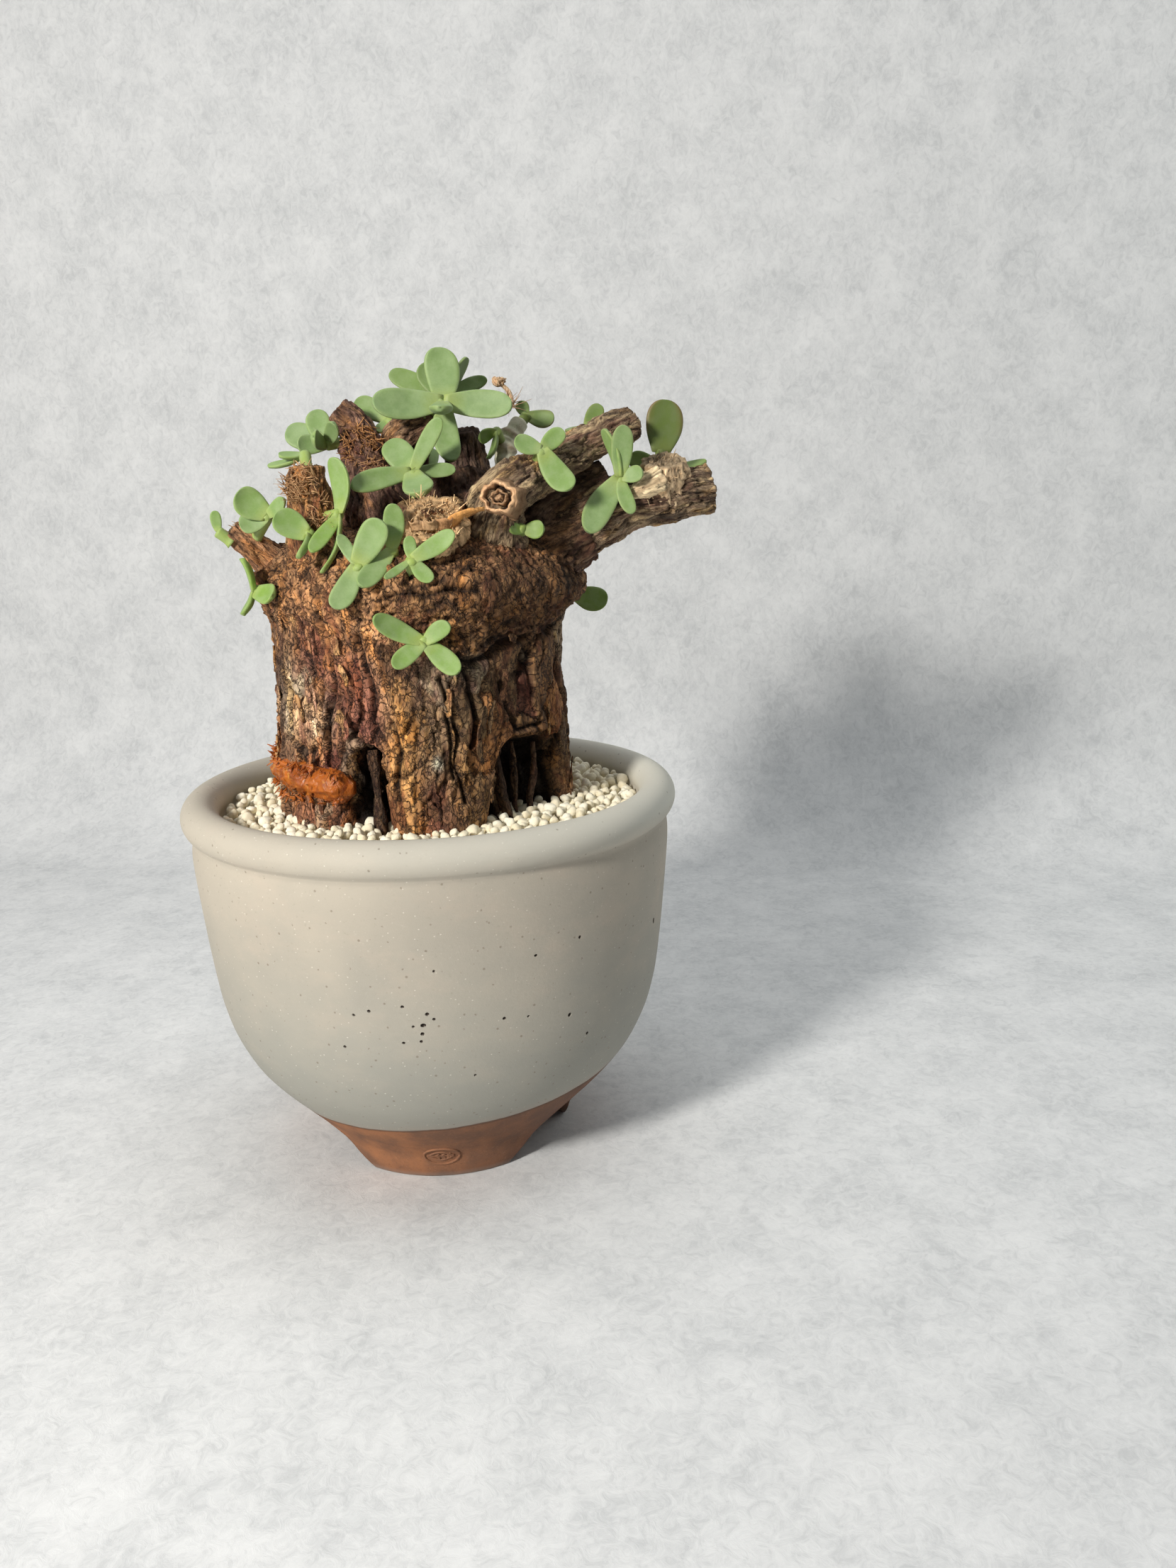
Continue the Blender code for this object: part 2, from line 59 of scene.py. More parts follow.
# ---- branches: the middle line from trunk to tip as (x, y, z), with a radius at each point ----
BRANCHES = {
    "branch_left_low": (((-22, -1, 119), (-30, -2, 128), (-37, -3, 134.3)), (6.5, 3.8, 2.2)),
    "branch_left_front": (((-17, -10, 123), (-20, -13, 134), (-20, -13, 146)), (6.0, 4.0, 2.7)),
    "branch_left_back": (
        ((-5, -3, 128), (-8, -1, 140.5), (-9, 2, 146.5), (-11.5, 5, 154), (-15, 5, 157.5)),
        (6.5, 4.6, 4.0, 3.1, 2.3),
    ),
    "branch_front_cut": (((2, -12, 122), (2.8, -17, 130), (2.8, -19, 138.5)), (6.8, 6.4, 5.9)),
    "branch_centre": (((3, 6, 128), (-1, 6, 142), (-1.5, 4, 151), (5, 0, 156)), (6.5, 4.4, 4.0, 2.6)),
    "branch_upper_right": (
        ((13, -10, 121), (15.5, -16, 137), (23, -12, 143), (32.5, -7, 148), (44.5, -3, 153.5)),
        (6.0, 5.0, 3.9, 3.3, 3.0),
    ),
    "branch_lower_right": (
        ((21, -1, 127), (33.5, -4, 133.5), (41, -5, 137), (50.5, -4, 138.5), (60.5, -3, 140)),
        (7.0, 5.0, 4.7, 4.6, 4.2),
    ),
    "branch_dark": (((14, 13, 126), (12, 11, 142), (10.5, 8.5, 153)), (5.0, 3.2, 2.2)),
    "branch_back_left": (((-13, 16, 120), (-17, 24, 130), (-18, 29, 137)), (7.0, 4.4, 3.4)),
    "branch_back_right": (((9, 18, 120), (8, 27, 130), (9, 32, 137)), (7.0, 4.6, 3.3)),
}

YOUNG_STEM = ((20, 3.5, 136.5), (18.8, 4, 147), (20, 5.5, 151), (23, 7, 155))
YOUNG_STEM_RADII = (2.5, 2.3, 2.2, 1.7)
YOUNG_STEM_JOINTS = np.array((4.2, 8.6, 12.4, 16.0))      # how far along it each is
DRIED_FLOWER = ((21, 6.5, 157.5), (20.5, 7, 160.5), (18.5, 7, 162.5))
PETALS = 7

# ---- leaves: each shoot is the point its leaves spring from, then for every leaf the point its
# tip reaches, its width and the way its upper face looks ----
FRONT = (0, -1, 0.3)
UP = (0, -0.4, 1)
LEFT = (-1, -0.3, 0)
RIGHT = (1, -0.3, 0)
BACK = (0, 1, 0.3)
SHOOTS = {
    "shoot_left_low": ((-33, -8.5, 122.5), (
        ((-34.5, -10.5, 129), 4.0, LEFT), ((-35.5, -10, 118), 3.6, LEFT),
        ((-28.5, -15.5, 122), 4.4, FRONT))),
    "shoot_left_tip": ((-39.3, -4.5, 134), (
        ((-39.6, -5, 138.2), 2.2, FRONT),)),
    "shoot_left_cluster": ((-29, -8, 137), (
        ((-34.5, -9, 141.5), 6.0, FRONT), ((-34.5, -8.5, 135), 4.4, FRONT),
        ((-25.3, -12, 140), 3.0, FRONT))),
    "shoot_left_front": ((-20.5, -20.5, 133.5), (
        ((-26.5, -21, 137), 5.4, FRONT), ((-22.5, -24, 129.5), 3.2, LEFT))),
    "shoot_left_long": ((-14.5, -19, 137), (
        ((-20, -24.5, 130.5), 3.0, FRONT), ((-15, -18.5, 147.5), 4.6, (-0.7, -0.8, 0.1)),
        ((-18.5, -24, 126.5), 2.6, LEFT))),
    "shoot_back_left": ((-17.5, 2.2, 150.5), (
        ((-25.5, 5, 153.5), 5.6, FRONT), ((-23, 0, 150.5), 4.2, FRONT),
        ((-19.5, 5.5, 157.5), 5.0, FRONT), ((-19.5, -3, 152), 3.8, RIGHT),
        ((-15.5, -2, 154.5), 3.2, FRONT))),
    "shoot_back_left_low": ((-21, -8, 148.5), (
        ((-26, -8.5, 148.5), 3.0, UP), ((-28.5, -6, 146.5), 3.0, UP))),
    "shoot_crown": ((6.5, -3, 158), (
        ((-7.5, -6, 158), 6.4, FRONT), ((6, 0, 168.8), 7.0, FRONT),
        ((5.5, -13, 156.5), 4.8, UP), ((20, -6, 157), 6.0, FRONT),
        ((7.5, -7, 146.5), 5.4, FRONT))),
    "shoot_crown_back": ((7.5, 5.5, 159.5), (
        ((2.8, 8, 166.5), 5.4, FRONT), ((12.2, 7.5, 167.5), 4.0, RIGHT),
        ((-4, 10, 165), 4.6, FRONT), ((16, 9, 163.5), 3.2, FRONT))),
    "shoot_crown_left": ((-4.8, 8, 155.5), (
        ((-11.5, 10.5, 159.5), 4.6, FRONT), ((-7.2, 4.5, 153), 2.2, FRONT))),
    "shoot_centre": ((-0.5, -12, 144.5), (
        ((-12, -18, 142), 4.4, FRONT), ((5.5, -13.5, 154.5), 3.4, FRONT),
        ((1, -20.5, 140.5), 6.0, FRONT), ((-5, -8.5, 150.5), 5.8, FRONT),
        ((8, -10, 145), 3.0, FRONT))),
    "shoot_front_left": ((-11.5, -29, 128), (
        ((-6.5, -30, 136), 5.4, FRONT), ((-16, -31.5, 120.5), 4.4, FRONT),
        ((-14.5, -27.5, 133.5), 2.4, FRONT))),
    "shoot_front_mid": ((-5, -27, 130.5), (
        ((-4.3, -27.5, 138.8), 4.0, FRONT), ((-11, -32.5, 124.5), 4.0, FRONT))),
    "shoot_front_right": ((-1.5, -31, 128.8), (
        ((6.5, -31, 133.5), 3.6, FRONT), ((-6.5, -34, 125.8), 1.6, FRONT),
        ((-1.7, -30.3, 133), 2.4, FRONT), ((2, -32, 124.8), 3.0, FRONT))),
    "shoot_front_star": ((0, -30.5, 113.5), (
        ((-9, -33, 118.8), 4.0, FRONT), ((4.7, -32, 117), 3.4, FRONT),
        ((-6, -33, 109.5), 3.6, FRONT), ((6, -33.5, 108), 4.2, FRONT))),
    "shoot_right_edge_up": ((33.5, 10, 124.5), (
        ((37, 11, 130.3), 4.4, FRONT),)),
    "shoot_right_edge_low": ((33.2, 10, 118), (
        ((40.7, 9, 116.5), 5.6, FRONT),)),
    "shoot_shade": ((20.3, -19.5, 133), (
        ((24, -21, 133.5), 3.6, FRONT), ((17.3, -21.5, 133.5), 2.4, FRONT))),
    "shoot_right_mid": ((24.5, -16.8, 148), (
        ((29.5, -20, 140.5), 5.2, FRONT), ((19.3, -17, 150), 3.8, FRONT),
        ((29, -14.5, 151.8), 3.6, FRONT))),
    "shoot_young_top": ((24, 8.5, 155.8), (
        ((29.8, 7, 155), 4.0, FRONT), ((22.8, 9.5, 158.8), 3.0, FRONT))),
    "shoot_young_low": ((17, 0.8, 152.5), (
        ((13.5, -1, 150.8), 3.0, RIGHT), ((15, -0.5, 147), 2.6, LEFT))),
    "shoot_upper_back": ((35.5, -1, 153), (
        ((31.5, 1.5, 152.3), 3.4, UP), ((38.8, 1, 157.3), 3.4, FRONT))),
    "shoot_right_main": ((40.5, -12, 142.5), (
        ((41, -14, 152.5), 4.4, FRONT), ((37.5, -10.5, 152), 3.8, LEFT),
        ((33, -17, 132.3), 5.6, FRONT), ((42.3, -15, 135.5), 3.2, FRONT),
        ((44.7, -14.5, 143.5), 3.4, FRONT))),
    "shoot_right_behind": ((52, 3, 144), (
        ((45, 3.5, 146.8), 4.4, FRONT), ((62, 4.5, 145.8), 3.8, UP))),
    "shoot_right_upright": ((50.8, -2, 147.3), (
        ((52, -1.5, 158), 7.8, FRONT),)),
    "shoot_back_top": ((-1, 13.5, 145), (
        ((-7, 18, 148.5), 4.6, BACK), ((5, 19, 149), 5.0, BACK), ((0, 18, 153), 4.0, BACK))),
    "shoot_back_left_tip": ((-19, 31.5, 137), (
        ((-24, 34, 140.5), 5.2, BACK), ((-17.5, 37.5, 141), 4.6, BACK), ((-21, 35.5, 130.5), 4.0, BACK))),
    "shoot_back_right_tip": ((9.5, 35, 138), (
        ((15.5, 36, 139), 4.6, BACK), ((6, 39, 140.5), 5.0, BACK), ((13, 38, 131), 4.2, BACK))),
    "shoot_back_low": ((-3, 35.5, 117), (
        ((-10, 38.5, 121), 4.4, BACK), ((4, 38.5, 120.5), 4.2, BACK), ((-2.5, 38.5, 109.5), 4.6, BACK))),
}
STEM_RADIUS = 1.1

# ---- trunk: (radius, height) of its girth above the gravel, and the gaps between its roots ----
TRUNK_MIDDLE = np.array((-1.0, 2.0, 0.0))
TRUNK_RADIUS, FOOT_RADIUS = 30.0, 31.6          # on average, and at the gravel
GRAVEL_LEVEL = 77.0
TRUNK_COLUMNS, TRUNK_ROWS = 470, 210
CLOSEST = -85                        # the angle where the columns are closest, facing the camera
TRUNK_GIRTH = (
    (30.6, 72.0), (31.8, 76.0), (31.0, 83.0), (30.3, 90.0), (29.8, 98.0), (29.5, 106.0), (29.6, 112.0),
    (30.0, 118.0), (30.4, 122.5), (29.6, 126.0), (26.5, 129.5), (19.0, 132.5), (9.0, 134.0), (0.6, 134.4),
)
ROOT_GAPS = (                        # angle, half width in degrees, depth, height it fades at, sharpness
    (-113.5, 9.5, 12.5, 93.5, 2.6),
    (-43.0, 22.5, 10.5, 93.5, 5.0),
    (64.0, 12.0, 8.0, 92.0, 2.6),
    (152.0, 9.0, 7.0, 90.0, 2.6),
)
FISSURES = (                         # half width, depth, then (degrees, height) along the crack
    (0.55, 1.7, ((-127, 119), (-127.2, 112), (-126, 106), (-128.5, 101), (-132, 97), (-131, 92))),
    (0.5, 1.5, ((-113, 114), (-111, 108), (-109, 103), (-110.5, 98), (-106, 95))),
    (0.65, 2.2, ((-76, 110), (-72.4, 105.8), (-71, 101), (-69.8, 97), (-71, 92))),
    (0.5, 1.5, ((-84, 106), (-81.7, 102), (-78, 96), (-78.4, 88), (-77, 81))),
    (0.5, 1.4, ((-82, 99), (-80.5, 93), (-80, 86))),
    (0.6, 2.0, ((-15, 112), (-12, 104), (-9, 97), (-12, 90))),
    (0.5, 1.4, ((-58, 104), (-56, 99), (-50, 94), (-40, 94.5))),
    (0.5, 1.3, ((-30, 114), (-27, 107), (-24, 100))),
    (0.6, 1.6, ((-98, 122), (-91, 122.9), (-84, 122.4), (-71, 122.6))),
    (0.8, 2.2, ((-78, 109.6), (-70, 109.3), (-62, 110.6), (-54, 111.8), (-46, 113))),
    (0.5, 1.3, ((-139, 113), (-138, 106), (-140, 101))),
    (0.5, 1.4, ((-102, 98), (-98, 93), (-100, 86), (-99, 78))),
    (0.5, 1.6, ((30, 118), (28, 108), (33, 96), (30, 82))),
    (0.6, 1.8, ((88, 116), (92, 104), (88, 93), (94, 80))),
    (0.5, 1.6, ((118, 112), (122, 100), (119, 84))),
)
CRUST_EDGE = (                       # height where the crinkled upper bark begins, by angle
    (-180, 117), (-140, 117), (-112, 115.5), (-96, 112), (-78, 109.8), (-62, 110.5), (-46, 113),
    (-20, 118), (20, 116), (80, 113), (140, 117), (180, 117),
)

# ---- colours, linear ----
TRUNK_TONES = (                      # angle, height, reach in degrees and in mm, colour
    (-146, 99, 11, 5.5, (0.78, 0.62, 0.48)),
    (-120, 103, 8, 8, (0.32, 0.125, 0.085)),
    (-135, 108, 7, 6, (0.34, 0.135, 0.085)),
    (-126, 96, 6, 4, (0.40, 0.19, 0.11)),
    (-112, 100, 4, 5, (0.27, 0.10, 0.085)),
    (-101, 104, 6, 5, (0.42, 0.22, 0.135)),
    (-96, 92, 4.5, 14, (0.58, 0.29, 0.12)),
    (-98, 80, 6, 4, (0.211, 0.068, 0.037)),
    (-86, 97, 6, 8, (0.32, 0.20, 0.125)),
    (-86, 82, 6, 5, (0.150, 0.070, 0.046)),
    (-79, 89, 4, 8, (0.38, 0.22, 0.12)),
    (-70, 100, 7, 8, (0.161, 0.102, 0.056)),
    (-56, 105, 8, 6, (0.115, 0.068, 0.036)),
    (-46, 99, 8, 5, (0.135, 0.072, 0.035)),
    (-33, 102, 8, 7, (0.130, 0.070, 0.034)),
    (-20, 92, 8, 7, (0.125, 0.075, 0.038)),
    (-72, 84, 5, 7, (0.140, 0.080, 0.038)),
    (-135, 79, 12, 3, (0.36, 0.15, 0.095)),
    (-130, 89, 8, 3.5, (0.2, 0.06, 0.035)),
    (-150, 90, 8, 4, (0.33, 0.18, 0.12)),
    (-128, 118, 14, 5, (0.46, 0.22, 0.11)),
    (-104, 117, 10, 4, (0.52, 0.27, 0.15)),
    (-85, 117, 12, 6, (0.28, 0.14, 0.065)),
    (-60, 118, 12, 6, (0.136, 0.068, 0.031)),
    (-35, 118, 14, 6, (0.124, 0.065, 0.031)),
    (30, 100, 40, 20, (0.170, 0.088, 0.048)),
    (100, 95, 40, 20, (0.204, 0.102, 0.064)),
    (170, 100, 30, 18, (0.281, 0.153, 0.093)),
)

PLATE_TONES = (                      # the plates with a number in this range lean this far to a colour
    (0.00, 0.16, 0.55, (0.17, 0.050, 0.045)),
    (0.16, 0.26, 0.50, (0.50, 0.20, 0.07)),
    (0.80, 0.90, 0.50, (0.40, 0.32, 0.25)),
    (0.90, 1.00, 0.60, (0.085, 0.040, 0.030)),
)

LEAF_STATIONS = 22
LEAF_SIDES = 18


# ---- repeatable noise ----

def lattice(cell, seed):
    """A fixed number from 0 to 1 for every cell of a cubic grid."""
    mixed = (cell[..., 0] * 374761393 + cell[..., 1] * 668265263 + cell[..., 2] * 1440662683
             + seed * 1274126177) & 0xFFFFFFFF
    mixed = ((mixed ^ (mixed >> 13)) * 1274126177) & 0xFFFFFFFF
    return ((mixed ^ (mixed >> 16)) & 0xFFFFFFFF) / 4294967295.0


def noise(points, seed):
    """Smooth noise from -1 to 1 with features about one unit across."""
    cell = np.floor(points).astype(np.int64)
    part = points - cell
    part = part * part * (3 - 2 * part)
    total = np.zeros(points.shape[:-1])
    for corner in itertools.product((0, 1), repeat=3):
        corner = np.array(corner)
        weight = np.prod(np.where(corner == 1, part, 1 - part), axis=-1)
        total += weight * lattice(cell + corner, seed)
    return 2 * total - 1


def fractal(points, seed, octaves=4):
    return sum(noise(points * 2.0 ** k, seed + k) * 0.5 ** k for k in range(octaves))


def plates(points, seed):
    """Cells like cracked bark: how far each point is from its cell's edge, and two numbers that
    belong to the whole cell."""
    cell = np.floor(points).astype(np.int64)
    best = np.full(points.shape[:-1], 9.0)
    second = best.copy()
    own = np.zeros(points.shape[:-1])
    other = own.copy()
    for step in itertools.product((-1, 0, 1), repeat=3):
        near = cell + np.array(step)
        heart = near + np.stack([lattice(near, seed + k) for k in range(3)], axis=-1)
        away = np.linalg.norm(points - heart, axis=-1)
        closer = away < best
        second = np.where(closer, best, np.minimum(second, away))
        own = np.where(closer, lattice(near, seed + 3), own)
        other = np.where(closer, lattice(near, seed + 4), other)
        best = np.where(closer, away, best)
    return second - best, own, other


def smoothstep(low, high, x):
    t = np.clip((x - low) / (high - low), 0, 1)
    return t * t * (3 - 2 * t)


def polar(radius, degrees, height):
    angle = np.radians(degrees)
    return np.stack(np.broadcast_arrays(radius * np.cos(angle), radius * np.sin(angle), height), axis=-1)


def unit(vector):
    vector = np.asarray(vector, float)
    return vector / np.linalg.norm(vector, axis=-1, keepdims=True)


# ---- making pieces ----

def add_piece(name, points, faces, finish, replaced=(), marks=None):
    """A mesh from points in millimetres about the pot's axis, riding on the plant's one body. Marks
    are values for each point that its material reads."""
    mesh = bpy.data.meshes.new(name)
    mesh.from_pydata((np.asarray(points) * MM + AXIS).tolist(), [], [list(f) for f in faces])
    for mark, values in (marks or {}).items():
        values = np.asarray(values, np.float32)
        kind = "FLOAT" if values.ndim == 1 else "FLOAT_VECTOR"
        layer = mesh.attributes.new(mark, kind, "POINT")
        layer.data.foreach_set("value" if values.ndim == 1 else "vector", values.ravel())
    mesh.materials.append(finish)
    mesh.validate()
    mesh.polygons.foreach_set("use_smooth", [True] * len(mesh.polygons))
    return settle(linked(name, mesh), replaced)


def linked(name, data):
    made = bpy.data.objects.new(name, data)
    bpy.context.scene.collection.objects.link(made)
    return made


def settle(made, replaced=()):
    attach(made, "root")
    if replaced:
        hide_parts(*replaced)
    return made


def grid_faces(rows, columns, closed=True):
    """Quads between neighbouring rows of points; closed rows join up end to end."""
    row, column = np.meshgrid(np.arange(rows - 1), np.arange(columns if closed else columns - 1),
                              indexing="ij")
    after = (column + 1) % columns
    quads = np.stack([row * columns + column, row * columns + after,
                      (row + 1) * columns + after, (row + 1) * columns + column], axis=-1)
    return quads.reshape(-1, 4).tolist()


def tube_faces(rows, columns):
    """Rows of points joined into a tube, with a flat face over each end."""
    last = (rows - 1) * columns
    ends = [list(range(columns))[::-1], list(range(last, last + columns))]
    return grid_faces(rows, columns) + ends


def ring_faces(rows, columns):
    """Rows of points joined into a tube whose last row meets its first."""
    last = (rows - 1) * columns
    return grid_faces(rows, columns) + [
        [last + i, last + (i + 1) % columns, (i + 1) % columns, i] for i in range(columns)]


def grid_normals(points, closed=True):
    """Unit normals of a grid of points, facing out when columns turn anticlockwise going up."""
    along = np.gradient(points, axis=0)
    if closed:
        across = np.roll(points, -1, axis=1) - np.roll(points, 1, axis=1)
    else:
        across = np.gradient(points, axis=1)
    normal = np.cross(across, along)
    return normal / np.maximum(np.linalg.norm(normal, axis=-1, keepdims=True), 1e-9)


class Batch:
    """Many small closed shapes gathered into one mesh."""

    def __init__(self):
        self.points, self.faces, self.marks, self.count = [], [], {}, 0

    def add(self, points, faces, **marks):
        self.points.append(points)
        self.faces += [[i + self.count for i in face] for face in faces]
        for mark, values in marks.items():
            values = np.asarray(values, float)
            if values.ndim == 0:
                values = np.full(len(points), values)
            elif values.ndim == 1 and len(values) != len(points):
                values = np.tile(values, (len(points), 1))
            self.marks.setdefault(mark, []).append(values)
        self.count += len(points)

    def piece(self, name, finish, slot, replaced=()):
        marks = {mark: np.concatenate(values) for mark, values in self.marks.items()}
        return add_piece(name, np.concatenate(self.points), self.faces, finish, replaced, marks)


# ---- materials ----

class Finish:
    """A short way to write a node material, whose colour is laid down in layers."""

    def __init__(self, name, **sockets):
        self.material = bpy.data.materials.new(name)
        self.material.use_nodes = True
        self.tree = self.material.node_tree
        self.shader = self.tree.nodes["Principled BSDF"]
        self.colour = None
        for socket, value in sockets.items():
            self.shader.inputs[socket.replace("_", " ")].default_value = value

    def node(self, kind, inputs, output=0, **settings):
        made = self.tree.nodes.new(kind)
        for setting, value in settings.items():
            setattr(made, setting, value)
        for socket, value in inputs.items():
            self.plug(value, made.inputs[socket])
        return made.outputs[output]

    def plug(self, value, socket):
        if isinstance(value, bpy.types.NodeSocket):
            self.tree.links.new(value, socket)
        else:
            socket.default_value = value

    def mark(self, name, output="Fac"):
        return self.node("ShaderNodeAttribute", {}, output, attribute_name=name)

    def place(self):
        """The point being coloured, in millimetres."""
        return self.scaled(self.node("ShaderNodeTexCoord", {}, "Object"), (1 / MM, 1 / MM, 1 / MM))

    def scaled(self, vector, factors):
        return self.node("ShaderNodeVectorMath", {0: vector, 1: factors}, operation="MULTIPLY")

    def noise(self, vector, scale, detail=3.0, rough=0.55, warp=0.0, upright=1.0, output=0):
        """Noise whose features are long in Z where upright is under 1."""
        if upright != 1.0:
            vector = self.scaled(vector, (1.0, 1.0, upright))
        return self.node("ShaderNodeTexNoise", {"Vector": vector, "Scale": scale, "Detail": detail,
                                                "Roughness": rough, "Distortion": warp}, output)

    def cells(self, vector, scale, feature="F1"):
        return self.node("ShaderNodeTexVoronoi", {"Vector": vector, "Scale": scale}, "Distance",
                         feature=feature)

    def math(self, operation, *values):
        return self.node("ShaderNodeMath", dict(enumerate(values)), operation=operation)

    def product(self, first, second):
        return self.math("MULTIPLY", first, second)

    def spread(self, value, low, high, to_low=0.0, to_high=1.0):
        """A value carried from one range to another, and held within it."""
        return self.node("ShaderNodeMapRange", {0: value, 1: low, 2: high, 3: to_low, 4: to_high})

    def mix(self, share, first, second, blend="MIX"):
        first, second = [(*c, 1.0) if isinstance(c, tuple) and len(c) == 3 else c for c in (first, second)]
        return self.node("ShaderNodeMix", {0: share, 6: first, 7: second}, 2,
                         data_type="RGBA", blend_type=blend)

    def start(self, value, low, high, first, second):
        """The ground colour, from the first to the second as a value goes from low to high."""
        self.colour = self.mix(self.spread(value, low, high), first, second)

    def layer(self, value, low, high, most, tone, blend="MIX"):
        """Lays a tone over the colour, up to its most as a value goes from low to high."""
        self.lay(self.spread(value, low, high, 0.0, most), tone, blend)

    def lay(self, share, tone, blend="MIX"):
        self.colour = self.mix(share, self.colour, tone, blend)

    def bump(self, height, strength, distance):
        """Distance in millimetres."""
        before = self.shader.inputs["Normal"]
        inputs = {"Height": height, "Strength": strength, "Distance": distance * MM}
        if before.is_linked:
            inputs["Normal"] = before.links[0].from_socket
        self.plug(self.node("ShaderNodeBump", inputs), before)

    def finish(self, rough=None):
        self.plug(self.colour, self.shader.inputs["Base Color"])
        if rough is not None:
            self.plug(rough, self.shader.inputs["Roughness"])
        return self.material


def bark_finish(name, upright, contrast, craze):
    """Flaking bark. Its tone, its cracks with their painted shade, and its fibres' direction are marks on the
    mesh.
    """
    made = Finish(name, Specular_IOR_Level=0.28)
    grain = made.mark("grain", "Vector")
    tone = made.mark("tone", "Color")
    fibre = made.noise(grain, 1.05, 7.0, 0.66, upright=upright)
    fleck = made.noise(grain, 0.85, 7.0, 0.68, 0.5, upright=0.5)
    cloud = made.noise(grain, 0.2, 4.0, 0.6, 0.4, upright=0.5)
    split = made.noise(grain, 0.5, 6.0, 0.6, 0.7, upright=0.22)
    vein = made.math("ABSOLUTE", made.math("SUBTRACT", split, 0.5))
    shift = made.scaled(made.noise(grain, 0.55, 4.0, 0.5, output="Color"), (4.5, 4.5, 4.5))
    moved = made.node("ShaderNodeVectorMath", {0: grain, 1: shift}, operation="ADD")
    crackle = made.cells(made.scaled(moved, (1.0, 1.0, 0.6)), 0.62, "DISTANCE_TO_EDGE")
    crazed = made.product(made.spread(crackle, 0.075, 0.02), made.spread(cloud, 0.40, 0.52, 0.35, 0.95))
    made.start(fibre, 0.34, 0.66, made.mix(contrast, tone, (0.07, 0.026, 0.017)),
               made.mix(1.0, tone, (1.70, 1.74, 1.40), "MULTIPLY"))
    made.layer(cloud, 0.54, 0.64, 0.70, (1.30, 1.06, 0.66), "MULTIPLY")
    made.layer(cloud, 0.46, 0.37, 0.80, (0.64, 0.46, 0.50), "MULTIPLY")
    made.layer(fleck, 0.57, 0.68, 0.85, (1.9, 2.1, 2.3), "MULTIPLY")
    made.layer(fleck, 0.40, 0.32, 0.75, (0.030, 0.014, 0.010))
    made.layer(vein, 0.018, 0.004, 0.75, (0.022, 0.010, 0.008))
    made.lay(made.product(crazed, craze), (0.020, 0.010, 0.007))
    # the crack mark: the dark of cracks and grooves, partly their own colour and partly painted shade, and
    # painted shade, nearly black, in the trunk's root hollows
    made.lay(made.mark("crack"), (0.012, 0.007, 0.005))
    made.bump(made.spread(crackle, 0.0, 0.12), craze, 0.4)
    made.bump(made.spread(vein, 0.0, 0.03), 0.5, 0.35)
    made.bump(fleck, 0.7, 0.5)
    made.bump(fibre, 0.6, 0.5)
    return made.finish(made.spread(fibre, 0.3, 0.7, 0.82, 0.62))


def peel_finish():
    """A band of inner bark laid bare: orange, thin and glossy."""
    made = Finish("peeled_bark", Specular_IOR_Level=0.6, Subsurface_Weight=0.12,
                  Subsurface_Radius=(0.0015, 0.0006, 0.0002))
    where = made.place()
    crease = made.noise(where, 0.8, 5.0, 0.6, 1.0, upright=0.4)
    made.start(made.noise(where, 0.28, 4.0, 0.6, 0.8), 0.3, 0.7, (0.24, 0.050, 0.008), (0.60, 0.165, 0.014))
    made.layer(crease, 0.6, 0.72, 0.7, (0.82, 0.42, 0.09))
    made.layer(crease, 0.42, 0.3, 0.85, (0.06, 0.012, 0.006))
    made.bump(crease, 0.8, 0.6)
    return made.finish(made.spread(crease, 0.35, 0.65, 0.22, 0.5))


def cut_wood_finish():
    """Dry sawn and torn wood, tan, with dark pores between its fibres."""
    made = Finish("cut_wood", Specular_IOR_Level=0.25)
    grain = made.mark("grain", "Vector")
    tone = made.mark("tone", "Color")
    fibre = made.noise(grain, 1.6, 6.0, 0.65, upright=0.2)
    made.start(fibre, 0.34, 0.66, made.mix(0.5, tone, (0.16, 0.065, 0.025)), tone)
    made.layer(made.noise(grain, 1.1, 6.0, 0.65), 0.43, 0.33, 0.8, (0.06, 0.03, 0.018))
    # the crack mark: the dark of cracks, and painted shade in the sunk middles of sawn ends and in the
    # socket's grooves
    made.lay(made.mark("crack"), (0.03, 0.016, 0.01))
    made.bump(fibre, 0.7, 0.4)
    return made.finish(0.85)


def leaf_finish():
    """Thick sage-green leaves under a pale waxy bloom, yellower towards the base."""
    made = Finish("waxy_leaf", Roughness=0.52, Specular_IOR_Level=0.35, Subsurface_Weight=0.12,
                  Subsurface_Radius=(0.0012, 0.0018, 0.0006), Sheen_Weight=0.10, Sheen_Roughness=0.45,
                  Sheen_Tint=(0.86, 0.95, 0.88, 1.0))
    where = made.place()
    cloud = made.noise(where, 0.5, 4.0, 0.6)
    mottle = made.noise(where, 3.0, 3.0, 0.6)
    dust = made.noise(where, 11.0, 2.0, 0.6)
    made.start(made.mark("age"), 0.0, 1.0, (0.218, 0.318, 0.128), (0.225, 0.375, 0.050))
    made.layer(made.mark("along"), 0.34, 0.0, 0.75, (0.42, 0.48, 0.13))
    made.layer(cloud, 0.4, 0.7, 0.55, (0.325, 0.425, 0.205))
    made.layer(mottle, 0.5, 0.7, 0.22, (0.17, 0.26, 0.075))
    made.layer(dust, 0.62, 0.75, 0.25, (0.48, 0.58, 0.42))
    made.lay(made.product(made.mark("edge"), 0.20), (0.50, 0.60, 0.20))
    # painted shade: the leaves of shaded shoots darkened towards olive, along with their own darker olive
    # colour
    made.lay(made.mark("shade"), (0.085, 0.105, 0.030))
    made.lay(made.mark("blush"), (0.26, 0.085, 0.045))
    made.bump(mottle, 0.12, 0.12)
    made.bump(dust, 0.10, 0.05)
    return made.finish(made.spread(cloud, 0.3, 0.7, 0.45, 0.62))


